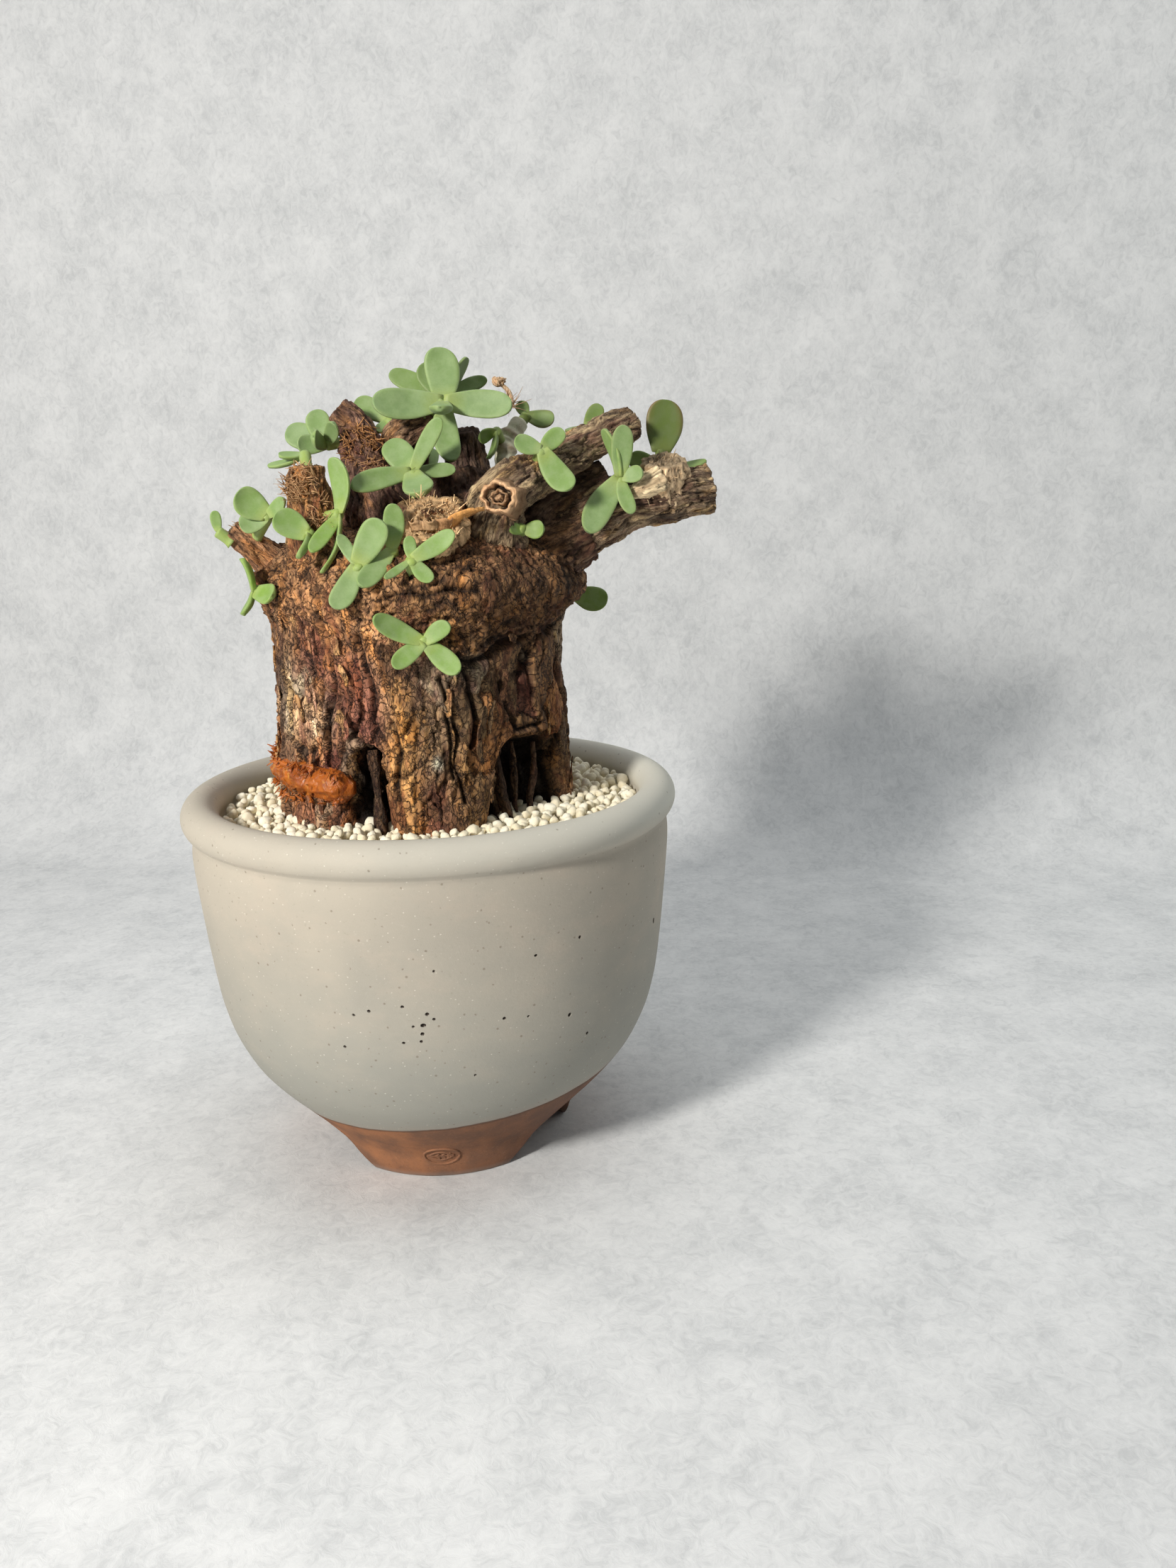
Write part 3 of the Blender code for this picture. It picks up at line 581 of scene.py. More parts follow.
def stem_finish():
    """The smooth cream skin of the young stem, browner at its joints."""
    made = Finish("green_stem", Roughness=0.6, Specular_IOR_Level=0.3, Subsurface_Weight=0.08,
                  Subsurface_Radius=(0.001, 0.0012, 0.0005))
    where = made.place()
    skin = made.noise(where, 4.0, 4.0, 0.65)
    made.colour = made.mix(made.mark("joint"), (0.66, 0.64, 0.47), (0.30, 0.19, 0.11))
    made.layer(made.noise(where, 0.6, 4.0, 0.6), 0.45, 0.7, 0.7, (0.74, 0.68, 0.52))
    made.layer(skin, 0.45, 0.3, 0.5, (0.22, 0.17, 0.09))
    made.bump(skin, 0.5, 0.25)
    return made.finish()


def petal_finish():
    made = Finish("shrivelled_petal", Roughness=0.8, Subsurface_Weight=0.2,
                  Subsurface_Radius=(0.001, 0.0006, 0.0003))
    vein = made.noise(made.place(), 3.0, 4.0, 0.6, upright=0.3)
    made.start(vein, 0.35, 0.65, (0.46, 0.26, 0.13), (0.84, 0.64, 0.42))
    made.bump(vein, 0.5, 0.2)
    return made.finish()


def pumice_finish():
    """Cream pumice, each grain of its own tint, with open pores."""
    made = Finish("pumice_grain", Roughness=0.93, Specular_IOR_Level=0.2)
    where = made.place()
    pore = made.cells(where, 3.2)
    grit = made.noise(where, 5.0, 3.0, 0.7)
    made.colour = made.mix(made.mark("tint"), (0.86, 0.77, 0.56), (0.96, 0.91, 0.75))
    made.layer(made.noise(where, 0.9, 4.0, 0.6), 0.5, 0.75, 0.5, (0.76, 0.64, 0.42))
    made.layer(pore, 0.16, 0.04, 0.55, (0.30, 0.24, 0.15))
    made.layer(grit, 0.62, 0.75, 0.5, (0.96, 0.93, 0.82))
    made.bump(made.spread(pore, 0.0, 0.25), 0.6, 0.18)
    made.bump(grit, 0.6, 0.15)
    return made.finish()


def glaze_finish():
    """Matt grey-white glaze, speckled, ending on bare clay a little above the feet."""
    made = Finish("speckled_glaze", Specular_IOR_Level=0.3)
    where = made.place()
    x, y, z = [made.node("ShaderNodeSeparateXYZ", {0: where}, k) for k in range(3)]
    slope = made.math("ADD", made.product(x, 0.09), made.product(y, 0.02))
    wander = made.product(made.noise(where, 0.12, 3.0), 1.4)
    above = made.math("SUBTRACT", made.math("SUBTRACT", z, slope), made.math("ADD", wander, GLAZE_EDGE))
    glazed = made.spread(above, -0.15, 0.25)
    cloud = made.noise(where, 0.035, 3.0, 0.55, 0.3)
    haze = made.noise(where, 0.09, 4.0, 0.6, upright=1.8)
    grit = made.noise(where, 1.25, 5.0, 0.8)
    sand = made.noise(where, 2.8, 3.0, 0.75)
    speck_share = made.noise(where, 0.9, 1.0)

    made.start(made.noise(where, 0.16, 4.0, 0.6), 0.35, 0.65, (0.21, 0.105, 0.062), (0.37, 0.160, 0.074))
    clay_grit = made.noise(where, 2.2, 4.0, 0.7)
    # painted shade: the bare clay darkened towards the right, the side away from the light
    made.layer(x, -14.0, 16.0, 0.75, (0.135, 0.080, 0.060))
    made.layer(clay_grit, 0.58, 0.72, 0.4, (0.42, 0.25, 0.16))
    made.layer(clay_grit, 0.42, 0.3, 0.5, (0.09, 0.05, 0.035))
    made.layer(z, 1.6, 0.2, 0.6, (0.26, 0.22, 0.19))
    made.layer(above, -0.9, -0.2, 0.65, (0.085, 0.052, 0.04))
    clay = made.colour

    made.start(cloud, 0.35, 0.65, (0.420, 0.382, 0.318), (0.480, 0.430, 0.352))
    made.layer(haze, 0.5, 0.72, 0.35, (0.54, 0.455, 0.365))
    made.layer(grit, 0.60, 0.72, 0.38, (0.62, 0.59, 0.51))
    made.layer(grit, 0.40, 0.30, 0.34, (0.25, 0.225, 0.17))
    made.layer(sand, 0.66, 0.74, 0.35, (0.70, 0.68, 0.60))
    made.layer(made.math("ADD", z, made.product(haze, 22.0)), 74.0, 40.0, 0.68, (0.290, 0.298, 0.268))
    # painted highlight: the lip's top lightened towards the right, where the light falls on it
    thin = made.product(made.spread(z, 73.0, 77.5), made.spread(x, -34.0, 44.0, 0.08, 0.85))
    made.lay(thin, (0.66, 0.65, 0.57))
    speck = made.spread(made.cells(where, 0.55), 0.17, 0.10)
    speck = made.product(speck, made.spread(speck_share, 0.50, 0.56))
    made.lay(made.product(speck, 0.55), (0.17, 0.13, 0.09))
    fleck = made.spread(made.cells(made.scaled(where, (1.0, 1.0, 1.3)), 0.8), 0.16, 0.08)
    fleck = made.product(fleck, made.spread(speck_share, 0.50, 0.44))
    made.lay(made.product(fleck, 0.6), (0.74, 0.71, 0.63))
    made.lay(made.spread(above, 0.0, 2.5, 0.45, 0.0), (0.40, 0.33, 0.27))
    made.colour = made.mix(glazed, clay, made.colour)
    made.lay(made.mark("hole"), (0.035, 0.025, 0.02))
    made.bump(glazed, 0.35, 0.25)
    made.bump(grit, 0.18, 0.22)
    made.bump(sand, 0.25, 0.10)
    made.bump(haze, 0.10, 0.6)
    return made.finish(made.mix(glazed, (0.9, 0.9, 0.9), (0.74, 0.74, 0.74)))


def plain_finish(name, dark, pale, scale, rough, depth):
    """One material with two tones and a grain, for the pieces out of sight."""
    made = Finish(name, Roughness=rough)
    grain = made.noise(made.place(), scale, 5.0, 0.65)
    made.start(grain, 0.35, 0.65, dark, pale)
    made.bump(grain, 0.6, depth)
    return made.finish()


def paper_finish(name):
    """Pale paper with long soft fibres and a faint mottle, seen from its face only."""
    made = Finish(name, Roughness=0.9, Specular_IOR_Level=0.2)
    where = made.node("ShaderNodeTexCoord", {}, "Object")
    fibre = made.noise(where, 330.0, 5.0, 0.75, 1.2, upright=0.8)
    made.start(made.noise(where, 55.0, 6.0, 0.68), 0.34, 0.66, (0.59, 0.60, 0.605), (0.735, 0.74, 0.74))
    made.layer(fibre, 0.42, 0.62, 0.42, (0.84, 0.845, 0.84))
    made.layer(fibre, 0.44, 0.34, 0.30, (0.50, 0.51, 0.515))
    made.bump(fibre, 0.35, 0.30)
    material = made.finish()
    behind = made.node("ShaderNodeNewGeometry", {}, "Backfacing")
    clear = made.node("ShaderNodeBsdfTransparent", {})
    shown = made.node("ShaderNodeMixShader", {0: behind, 1: made.shader.outputs[0], 2: clear})
    made.plug(shown, made.tree.nodes["Material Output"].inputs["Surface"])
    return material


# ---- pot ----

RIM_RADIUS = 52.5
LIP_THICKNESS = 7.7
LIP_TOP = 80.6
FOOT_INNER = 21.5
UNDERSIDE = 12.8
FLOOR = 19.0
DRAIN_RADIUS = 7.0
FOOT_ANGLES = (-97.0, 23.0, 143.0)
ARCH_HALF_WIDTH = 12.7
GLAZE_EDGE = 18.2                    # mean height that the glaze ends at
POT_SEGMENTS = 256
SEAL_ANGLE, SEAL_HEIGHT = -95.0, 6.3
SEAL_LINE = 0.27                     # radius of its pressed lines
OUTER_WALL = (
    (26.0, 0.0), (26.5, 0.5), (27.5, 3.2), (28.7, 6.5), (31.6, 10.4), (35.5, 14.8), (39.1, 18.9),
    (42.3, 23.1), (44.5, 27.2), (46.2, 31.4), (47.3, 35.5), (48.1, 39.7), (49.1, 48.0), (49.9, 56.4),
    (50.6, 64.7), (50.8, 69.0), (50.6, 71.4), (50.5, 72.6), (50.75, 73.6),
)
INNER_WALL = (
    (44.8, 72.0), (44.6, 58.0), (43.4, 46.0), (40.6, 36.0), (35.0, 27.0), (26.0, 21.0),
)
PINHOLES = (                         # angle, height, radius
    (-95.0, 45.0, 0.58), (-94.0, 47.3, 0.42), (-95.3, 43.2, 0.42), (-95.7, 41.6, 0.34),
    (-97.2, 44.8, 0.34), (-99.6, 41.4, 0.36), (-99.2, 49.0, 0.36), (-106.6, 48.0, 0.36),
    (-110.2, 47.0, 0.36), (-92.6, 46.2, 0.34), (-77.2, 44.6, 0.38), (-113.4, 40.0, 0.34),
    (-69.8, 56.4, 0.40), (-60.6, 41.8, 0.50), (-58.6, 57.8, 0.40), (-54.6, 36.0, 0.38),
    (-27.0, 52.5, 0.75), (-71.5, 44.0, 0.30), (-92.0, 56.0, 0.30), (-84.0, 33.0, 0.30),
    (20.0, 40.0, 0.40), (75.0, 33.0, 0.36), (140.0, 47.0, 0.38), (170.0, 30.0, 0.36),
)


def wall_radius(height):
    return np.interp(height, [z for _, z in OUTER_WALL], [r for r, _ in OUTER_WALL])


def smooth_outline(corners, steps):
    """A smooth line through corners: Catmull-Rom, with the given number of steps to each."""
    corners = np.asarray(corners, float)
    padded = np.vstack([2 * corners[0] - corners[1], corners, 2 * corners[-1] - corners[-2]])
    line = []
    for a, b, c, d in zip(padded, padded[1:], padded[2:], padded[3:]):
        for t in np.arange(steps) / steps:
            line.append(0.5 * (2 * b + (c - a) * t + (2 * a - 5 * b + 4 * c - d) * t ** 2
                               + (3 * b - a - 3 * c + d) * t ** 3))
    return np.vstack([line, corners[-1]])


def turned_mesh(name, outline, segments):
    """A ring turned about Z from an outline of (radius, height)."""
    outline = np.asarray(outline, float)
    degrees = np.arange(segments) * 360 / segments
    points = polar(outline[:, :1], degrees[None, :], outline[:, 1:])
    mesh = bpy.data.meshes.new(name)
    faces = ring_faces(len(outline), segments)
    mesh.from_pydata((points.reshape(-1, 3) * MM + AXIS).tolist(), [], faces)
    return facing_out(mesh)


def facing_out(mesh):
    bm = bmesh.new()
    bm.from_mesh(mesh)
    bmesh.ops.recalc_face_normals(bm, faces=bm.faces[:])
    bm.to_mesh(mesh)
    bm.free()
    return mesh


def arch_cutter(degrees):
    """The opening between two feet: pointed at its crown, and rising outwards under the bowl."""
    across = np.sin(np.radians(np.linspace(-90, 90, 41)))
    ends = []
    for radius, crown in ((17.0, 12.0), (60.0, 22.5)):
        height = crown * (1 - np.abs(across) ** 1.25) - 0.5 * np.abs(across)
        top = polar(radius, degrees, 0) + polar(ARCH_HALF_WIDTH * across, degrees + 90, height)
        foot = [polar(radius, degrees, 0) + polar(ARCH_HALF_WIDTH * i, degrees + 90, -5.0) for i in (1, -1)]
        ends.append(np.vstack([top, *foot]))
    count = len(ends[0])
    faces = [[i, (i + 1) % count, count + (i + 1) % count, count + i] for i in range(count)]
    faces += [list(range(count))[::-1], list(range(count, 2 * count))]
    mesh = bpy.data.meshes.new("arch")
    mesh.from_pydata((np.vstack(ends) * MM + AXIS).tolist(), [], faces)
    return facing_out(mesh)


def cut(target, tools):
    """Cuts the tools out of a piece, and removes them."""
    for tool in tools:
        modifier = target.modifiers.new(tool.name, "BOOLEAN")
        modifier.operation = "DIFFERENCE"
        modifier.solver = "EXACT"
        modifier.object = tool
    settle_modifiers(target)
    for tool in tools:
        bpy.data.objects.remove(tool)


def settle_modifiers(target):
    bpy.context.view_layer.update()
    graph = bpy.context.evaluated_depsgraph_get()
    mesh = bpy.data.meshes.new_from_object(target.evaluated_get(graph), depsgraph=graph)
    target.modifiers.clear()
    target.data = mesh


def lip_arc(step):
    """The rolled lip's rounded top, from the outer wall over to the inner one."""
    bead = LIP_THICKNESS / 2
    middle = RIM_RADIUS - bead
    angles = np.radians(np.arange(-38, 206, step))
    return [(middle + bead * math.cos(a), LIP_TOP - bead + bead * math.sin(a)) for a in angles]


def make_pot(glaze):
    """The turned pot, with arches cut between its feet, worn edges and pinholes in its glaze."""
    outer = smooth_outline(OUTER_WALL, 4)
    inner = smooth_outline([(45.0, 74.6), *INNER_WALL], 3)
    base = [(DRAIN_RADIUS, FLOOR), (DRAIN_RADIUS, UNDERSIDE), (FOOT_INNER - 3, UNDERSIDE),
            (FOOT_INNER - 0.6, UNDERSIDE - 2.4), (FOOT_INNER, UNDERSIDE - 4), (FOOT_INNER, 0.5),
            (FOOT_INNER + 0.5, 0.0)]
    outline = np.vstack([outer, lip_arc(6), inner, base])
    pot = linked("stoneware_pot", turned_mesh("stoneware_pot", outline, POT_SEGMENTS))
    cut(pot, [linked(f"arch_{k}", arch_cutter(angle + 60)) for k, angle in enumerate(FOOT_ANGLES)])
    bevel = pot.modifiers.new("worn_edges", "BEVEL")
    bevel.width = 0.55 * MM
    bevel.segments = 3
    bevel.limit_method = "ANGLE"
    bevel.angle_limit = math.radians(35)
    settle_modifiers(pot)
    pits = []
    for k, (degrees, height, radius) in enumerate(PINHOLES):
        bm = bmesh.new()
        bmesh.ops.create_icosphere(bm, subdivisions=2, radius=radius * MM)
        centre = polar(wall_radius(height) + 0.1 * radius, degrees, height) * MM + AXIS
        squeeze = Matrix.Rotation(1.3 * k, 3, "X") @ Matrix.Diagonal((1.0, 1.0, 0.75 + 0.1 * (k % 4)))
        for vert in bm.verts:
            vert.co = squeeze @ vert.co + Vector(centre)
        mesh = bpy.data.meshes.new("pit")
        bm.to_mesh(mesh)
        bm.free()
        pits.append(linked(f"pit_{k}", mesh))
    cut(pot, pits)
    mesh = pot.data
    where = (np.array([v.co for v in mesh.vertices]) - AXIS) / MM
    hole = np.zeros(len(where))
    for degrees, height, radius in PINHOLES:
        away = np.linalg.norm(where - polar(wall_radius(height), degrees, height), axis=1)
        inside = np.hypot(where[:, 0], where[:, 1]) < wall_radius(where[:, 2]) - 0.12
        hole = np.maximum(hole, (away < 1.2 * radius) & inside)
    mesh.attributes.new("hole", "FLOAT", "POINT").data.foreach_set("value", hole.astype(np.float32))
    mesh.materials.clear()
    mesh.materials.append(glaze)
    mesh.polygons.foreach_set("use_smooth", [True] * len(mesh.polygons))
    mesh.set_sharp_from_angle(angle=math.radians(38))
    return settle(pot, ["pot"])


def make_seal(glaze):
    """A small oval potter's seal on the front foot: a plain leaf, pressed into the clay."""
    turns = np.linspace(0, 2 * math.pi, 49)
    lines = [np.stack([3.7 * np.cos(turns), 2.5 * np.sin(turns)], axis=1)]
    share = np.linspace(0, 1, 25)
    for side in (1, -1):
        lines.append(np.stack([-2.5 + 5 * share, side * 1.25 * np.sin(math.pi * share ** 0.85)], axis=1))
    lines.append(np.stack([-3.1 + 5.2 * share, 0 * share], axis=1))
    for start in (-1.2, 0.0, 1.1):
        for side in (1, -1):
            lines.append(np.stack([start + 0.7 * share, side * 0.75 * share], axis=1))
    batch = Batch()
    for line in lines:
        height = SEAL_HEIGHT + line[:, 1]
        degrees = SEAL_ANGLE + np.degrees(line[:, 0] / wall_radius(SEAL_HEIGHT))
        path = polar(wall_radius(height) - 0.03, degrees, height)
        points, faces = tube(path, np.full(len(path), SEAL_LINE), 8)
        batch.add(points, faces, hole=0.0)
    return batch.piece("leaf_seal", glaze, "stoneware")


# ---- paths and tubes ----

def frames(path):
    """Directions along, beside and above each point of a path, without twist."""
    along = unit(np.gradient(path, axis=0))
    side = np.zeros_like(along)
    side[0] = unit(np.cross(along[0], (0.3, 0.2, 1.0) if abs(along[0][2]) < 0.9 else (1.0, 0.2, 0.1)))
    for k in range(1, len(path)):
        side[k] = unit(side[k - 1] - along[k] * np.dot(side[k - 1], along[k]))
    return along, side, np.cross(along, side)


def tube(path, radii, sides):
    """A closed tube: its points, with the middles of its two ends last, and its faces."""
    _, side, above = frames(path)
    angle = np.arange(sides) * 2 * math.pi / sides
    ring = side[:, None] * np.cos(angle)[None, :, None] + above[:, None] * np.sin(angle)[None, :, None]
    points = (path[:, None] + ring * np.asarray(radii)[:, None, None]).reshape(-1, 3)
    faces = grid_faces(len(path), sides)
    points = np.vstack([points, path[0], path[-1]])
    low, high = len(points) - 2, len(points) - 1
    last = (len(path) - 1) * sides
    faces += [[low, (i + 1) % sides, i] for i in range(sides)]
    faces += [[high, last + i, last + (i + 1) % sides] for i in range(sides)]
    return points, faces


def along_path(path, values):
    """Values spread evenly over the points of a path."""
    return np.interp(np.linspace(0, 1, len(path)), np.linspace(0, 1, len(values)), values)


def resample(path, extras, step):
    """Even steps along a path, carrying other values with it."""
    length = np.append(0, np.cumsum(np.linalg.norm(np.diff(path, axis=0), axis=1)))
    at = np.linspace(0, length[-1], max(4, int(length[-1] / step) + 1))
    even = np.stack([np.interp(at, length, path[:, k]) for k in range(3)], axis=1)
    return even, np.interp(at, length, extras), at


# ---- trunk ----

def around(degrees, middle):
    return (degrees - middle + 180) % 360 - 180


def girth(height):
    return np.interp(height, [z for _, z in TRUNK_GIRTH[:-2]], [r for r, _ in TRUNK_GIRTH[:-2]])


def crust_edge(degrees):
    return np.interp(degrees, [a for a, _ in CRUST_EDGE], [z for _, z in CRUST_EDGE])


def drift(points, seed):
    """Three numbers for each point that wander with it, to bend a pattern by."""
    return np.stack([fractal(points, seed + k, 3) for k in range(3)], axis=-1)


def root_gap(degrees, height):
    """How deep the trunk is hollowed between its roots, and how far into the gap a point is."""
    depth = np.zeros(np.broadcast(degrees, height).shape)
    inside = depth.copy()
    for middle, half_width, deep, top, sharp in ROOT_GAPS:
        rise = np.clip((top - height) / (top - 76.0), 0, 1)
        narrowed = half_width * (0.35 + 0.65 * np.clip(rise, 0, 1) ** 0.6)
        share = np.exp(-np.abs(around(degrees, middle) / narrowed) ** sharp) * smoothstep(0, 0.22, rise)
        depth = np.maximum(depth, deep * share)
        inside = np.maximum(inside, share)
    return depth, inside


def near_line(degrees, height, line):
    """Distance in millimetres over the bark to a line of (degrees, height) points."""
    arc = math.radians(1) * TRUNK_RADIUS
    spot = np.stack([degrees * arc, height], axis=-1)
    best = np.full(degrees.shape, 99.0)
    for start, end in zip(line, line[1:]):
        a = np.array([start[0] * arc, start[1]])
        b = np.array([end[0] * arc, end[1]])
        t = np.clip(((spot - a) @ (b - a)) / ((b - a) @ (b - a)), 0, 1)
        best = np.minimum(best, np.linalg.norm(spot - a - t[..., None] * (b - a), axis=-1))
    return best


def trunk_tones(degrees, height, own, other, hues=1.0):
    """The colour of the bark: each plate takes it from the patch that it lies in."""
    degrees = degrees + (own - 0.5) * 9
    height = height + (other - 0.5) * 5
    total = np.full(degrees.shape, 0.10)
    colour = total[..., None] * np.array((0.30, 0.155, 0.085))
    for middle, level, reach, rise, tone in TRUNK_TONES:
        weight = np.exp(-(around(degrees, middle) / reach) ** 2 - ((height - level) / rise) ** 2)
        total += weight
        colour += weight[..., None] * np.array(tone)
    colour /= total[..., None]
    for low, high, share, tone in PLATE_TONES:
        chosen = share * (hues * ((own > low) & (own <= high)))[..., None]
        colour = colour * (1 - chosen) + chosen * np.array(tone)
    return colour * (0.66 + 0.68 * other[..., None])


def make_trunk(bark):
    """The swollen trunk: cracked plates below, and a crinkled crust above."""
    columns, rows = TRUNK_COLUMNS, TRUNK_ROWS
    turn = np.arange(columns) * 2 * math.pi / columns
    degrees = np.degrees(turn - 0.3 * np.sin(turn - math.radians(CLOSEST)))
    outline = smooth_outline(TRUNK_GIRTH, 8)
    length = np.append(0, np.cumsum(np.linalg.norm(np.diff(outline, axis=0), axis=1)))
    at = np.linspace(0, length[-1], rows)
    radius = np.interp(at, length, outline[:, 0])[:, None]
    height = np.interp(at, length, outline[:, 1])[:, None] + 0 * degrees[None, :]
    degrees = around(degrees[None, :] + 0 * height, 0)

    depth, inside = root_gap(degrees, height)
    angle = np.radians(degrees)
    ribs = 0.5 * np.sin(5 * angle + np.radians(2 * height)) + 0.4 * np.sin(9 * angle)
    shoulder = np.exp(-(((height - 122) / 4.5) ** 2)) * (2.2 + 2.2 * np.cos(angle))
    fade = np.clip(radius / 24.0, 0, 1)
    place = polar(TRUNK_RADIUS, degrees, height)
    lumps = fractal(place / (9.0, 9.0, 14.0), 3, 3)
    strip = np.exp(-(around(degrees, -111.5) / 1.9) ** 2) * smoothstep(92, 88, height)
    strip = np.maximum(strip, 0.8 * np.exp(-(around(degrees, -60 + 0.35 * (86 - height)) / 2.6) ** 2)
                       * smoothstep(92.5, 90, height))
    strip = np.maximum(strip, 0.55 * np.exp(-(around(degrees, -36 + 0.5 * (84 - height)) / 4.5) ** 2)
                       * smoothstep(88, 84, height))
    hollow = inside * (1 - 0.8 * strip)
    radius = radius + (ribs + shoulder + 0.7 * lumps) * fade - depth * (1 - 0.55 * strip)
    base = polar(np.maximum(radius, 0.3), degrees, height) + TRUNK_MIDDLE
    normal = grid_normals(base)

    warp = drift(base / (5.0, 5.0, 9.0), 20)
    upper = smoothstep(-1.2, 1.6, height - crust_edge(degrees) + 1.6 * warp[..., 0])
    lower = 1 - upper

    edge, own, other = plates(base / (7.0, 7.0, 15.0) + 0.34 * warp, 40)
    broken = smoothstep(-0.25, 0.45, fractal(base / (12.0, 12.0, 16.0), 50, 2))
    big_crack = smoothstep(0.13, 0.0, edge) * (0.35 + 0.65 * broken)
    small_edge, small_own, small_other = plates(base / (2.5, 2.5, 6.5) + 0.35 * warp[..., ::-1], 60)
    small_crack = smoothstep(0.16, 0.0, small_edge) * smoothstep(-0.1, 0.5, fractal(base / (6, 6, 9), 55, 2))
    chip_edge, chip_own, chip_other = plates(base / (1.5, 1.5, 1.7) + 0.5 * warp, 80)
    fold = 1 - np.abs(fractal(base / (3.6, 3.6, 1.5) + 0.8 * warp, 90, 3))
    streak = fractal(base / (0.8, 0.8, 6.0), 95, 3)
    crumb = fractal(base / 1.0, 97, 3)

    fissure = np.zeros(height.shape)
    carved = np.zeros(height.shape)
    for half_width, deep, line in FISSURES:
        away = near_line(degrees + 1.3 * warp[..., 1], height + 0.8 * warp[..., 2], line)
        share = np.exp(-((away / half_width) ** 2))
        fissure = np.maximum(fissure, share)
        carved = np.maximum(carved, deep * share)
    tan_rope = (np.exp(-(around(degrees, -97.5 + 0.12 * (94 - height)) / 3.6) ** 2)
                * smoothstep(108, 104, height))

    rise = lower * (1.0 * (own - 0.5) - 1.3 * big_crack + 0.34 * (small_own - 0.5) - 0.5 * small_crack
                    + 0.08 * streak + 0.35 * lumps)
    rise += upper * (0.9 + 0.9 * (fold - 0.6) + 0.55 * (chip_own - 0.5)
                     - 0.4 * smoothstep(0.2, 0.0, chip_edge) + 0.28 * crumb + 0.5 * lumps)
    rise += tan_rope * (0.9 + 0.35 * streak) - carved
    rise *= np.clip(fade * 1.4, 0, 1)
    points = base + normal * rise[..., None]

    # the dark of the cracks, fissures and the crust's creases, partly their own colour and partly painted
    # shade
    crack = np.maximum(lower * np.maximum(0.9 * big_crack, 0.65 * small_crack), 0.95 * fissure)
    crack = np.maximum(crack, upper * 0.75 * np.maximum(smoothstep(0.12, 0.0, chip_edge)
                                                        * smoothstep(0.3, -0.5, lumps),
                                                        smoothstep(0.45, 0.2, fold)))
    # painted shade, nearly black, in the hollows between the roots
    crack = np.maximum(crack, 0.99 * smoothstep(0.18, 0.5, hollow))
    plate_own = np.where(upper > 0.5, chip_own, own)
    plate_other = np.where(upper > 0.5, chip_other, 0.6 * other + 0.4 * small_other)
    tone = trunk_tones(degrees, height, plate_own, plate_other, lower)
    rope = np.array((0.66, 0.34, 0.145)) * (0.8 + 0.25 * streak[..., None])
    tone = tone * (1 - 0.75 * tan_rope[..., None]) + 0.75 * tan_rope[..., None] * rope
    pale_strip = (strip * smoothstep(0.2, 0.6, inside))[..., None]
    tone = tone * (1 - 0.7 * pale_strip) + 0.7 * pale_strip * np.array((0.24, 0.15, 0.095))
    crust = np.exp(-(around(degrees, -85.8) / 1.9) ** 2 - ((height - 89.8) / 1.2) ** 2)[..., None]
    tone = tone * (1 - crust) + crust * np.array((0.66, 0.62, 0.56))

    top = base[-1].mean(axis=0)
    flat_points = np.vstack([points.reshape(-1, 3), top, points[0].mean(axis=0)])
    faces = grid_faces(rows, columns)
    last = (rows - 1) * columns
    faces += [[last + i, last + (i + 1) % columns, len(flat_points) - 2] for i in range(columns)]
    faces += [[(i + 1) % columns, i, len(flat_points) - 1] for i in range(columns)]

    def full(values, end):
        flat_values = values.reshape(rows * columns, -1)
        return np.vstack([flat_values, np.tile(end, (2, 1))]).squeeze()

    marks = {"grain": full(base, top), "tone": full(tone, (0.2, 0.1, 0.06)), "crack": full(crack, [0.3])}
    return add_piece("trunk", flat_points, faces, bark, ["caudex"], marks)


def trunk_spot(degrees, height, lift=0.0):
    """A point on the trunk's girth, and the way out from it."""
    depth, _ = root_gap(np.array(float(degrees)), np.array(float(height)))
    out = polar(1.0, degrees, 0.0)
    return polar(girth(height) - depth + lift, degrees, height) + TRUNK_MIDDLE, out


# ---- branches ----

BRANCH_LOOKS = {                     # bark tone, cut tone, how ragged its end is, how fibrous, how fat
    "branch_left_low": ((0.44, 0.22, 0.13), (0.66, 0.44, 0.27), 0.7, 0.5, 1.06),
    "branch_left_front": ((0.42, 0.20, 0.09), (0.64, 0.42, 0.22), 0.8, 1.0, 1.22),
    "branch_left_back": ((0.22, 0.12, 0.10), (0.52, 0.27, 0.14), 0.5, 0.6, 1.20),
    "branch_front_cut": ((0.24, 0.12, 0.07), (0.66, 0.42, 0.22), 1.3, 0.6, 1.04),
    "branch_centre": ((0.22, 0.13, 0.09), (0.46, 0.29, 0.18), 0.6, 0.5, 1.25),
    "branch_upper_right": ((0.33, 0.235, 0.165), (0.60, 0.43, 0.27), 0.8, 0.8, 1.16),
    "branch_lower_right": ((0.34, 0.24, 0.175), (0.66, 0.47, 0.28), 1.0, 0.9, 1.24),
    # painted shade: branch_dark's near-black tones stand for the shade it sits in behind the other branches
    "branch_dark": ((0.10, 0.065, 0.055), (0.18, 0.11, 0.08), 0.5, 0.3, 1.55),
    "branch_back_left": ((0.30, 0.17, 0.11), (0.56, 0.37, 0.22), 0.8, 0.5, 1.1),
    "branch_back_right": ((0.29, 0.17, 0.12), (0.56, 0.37, 0.22), 0.8, 0.5, 1.1),
}
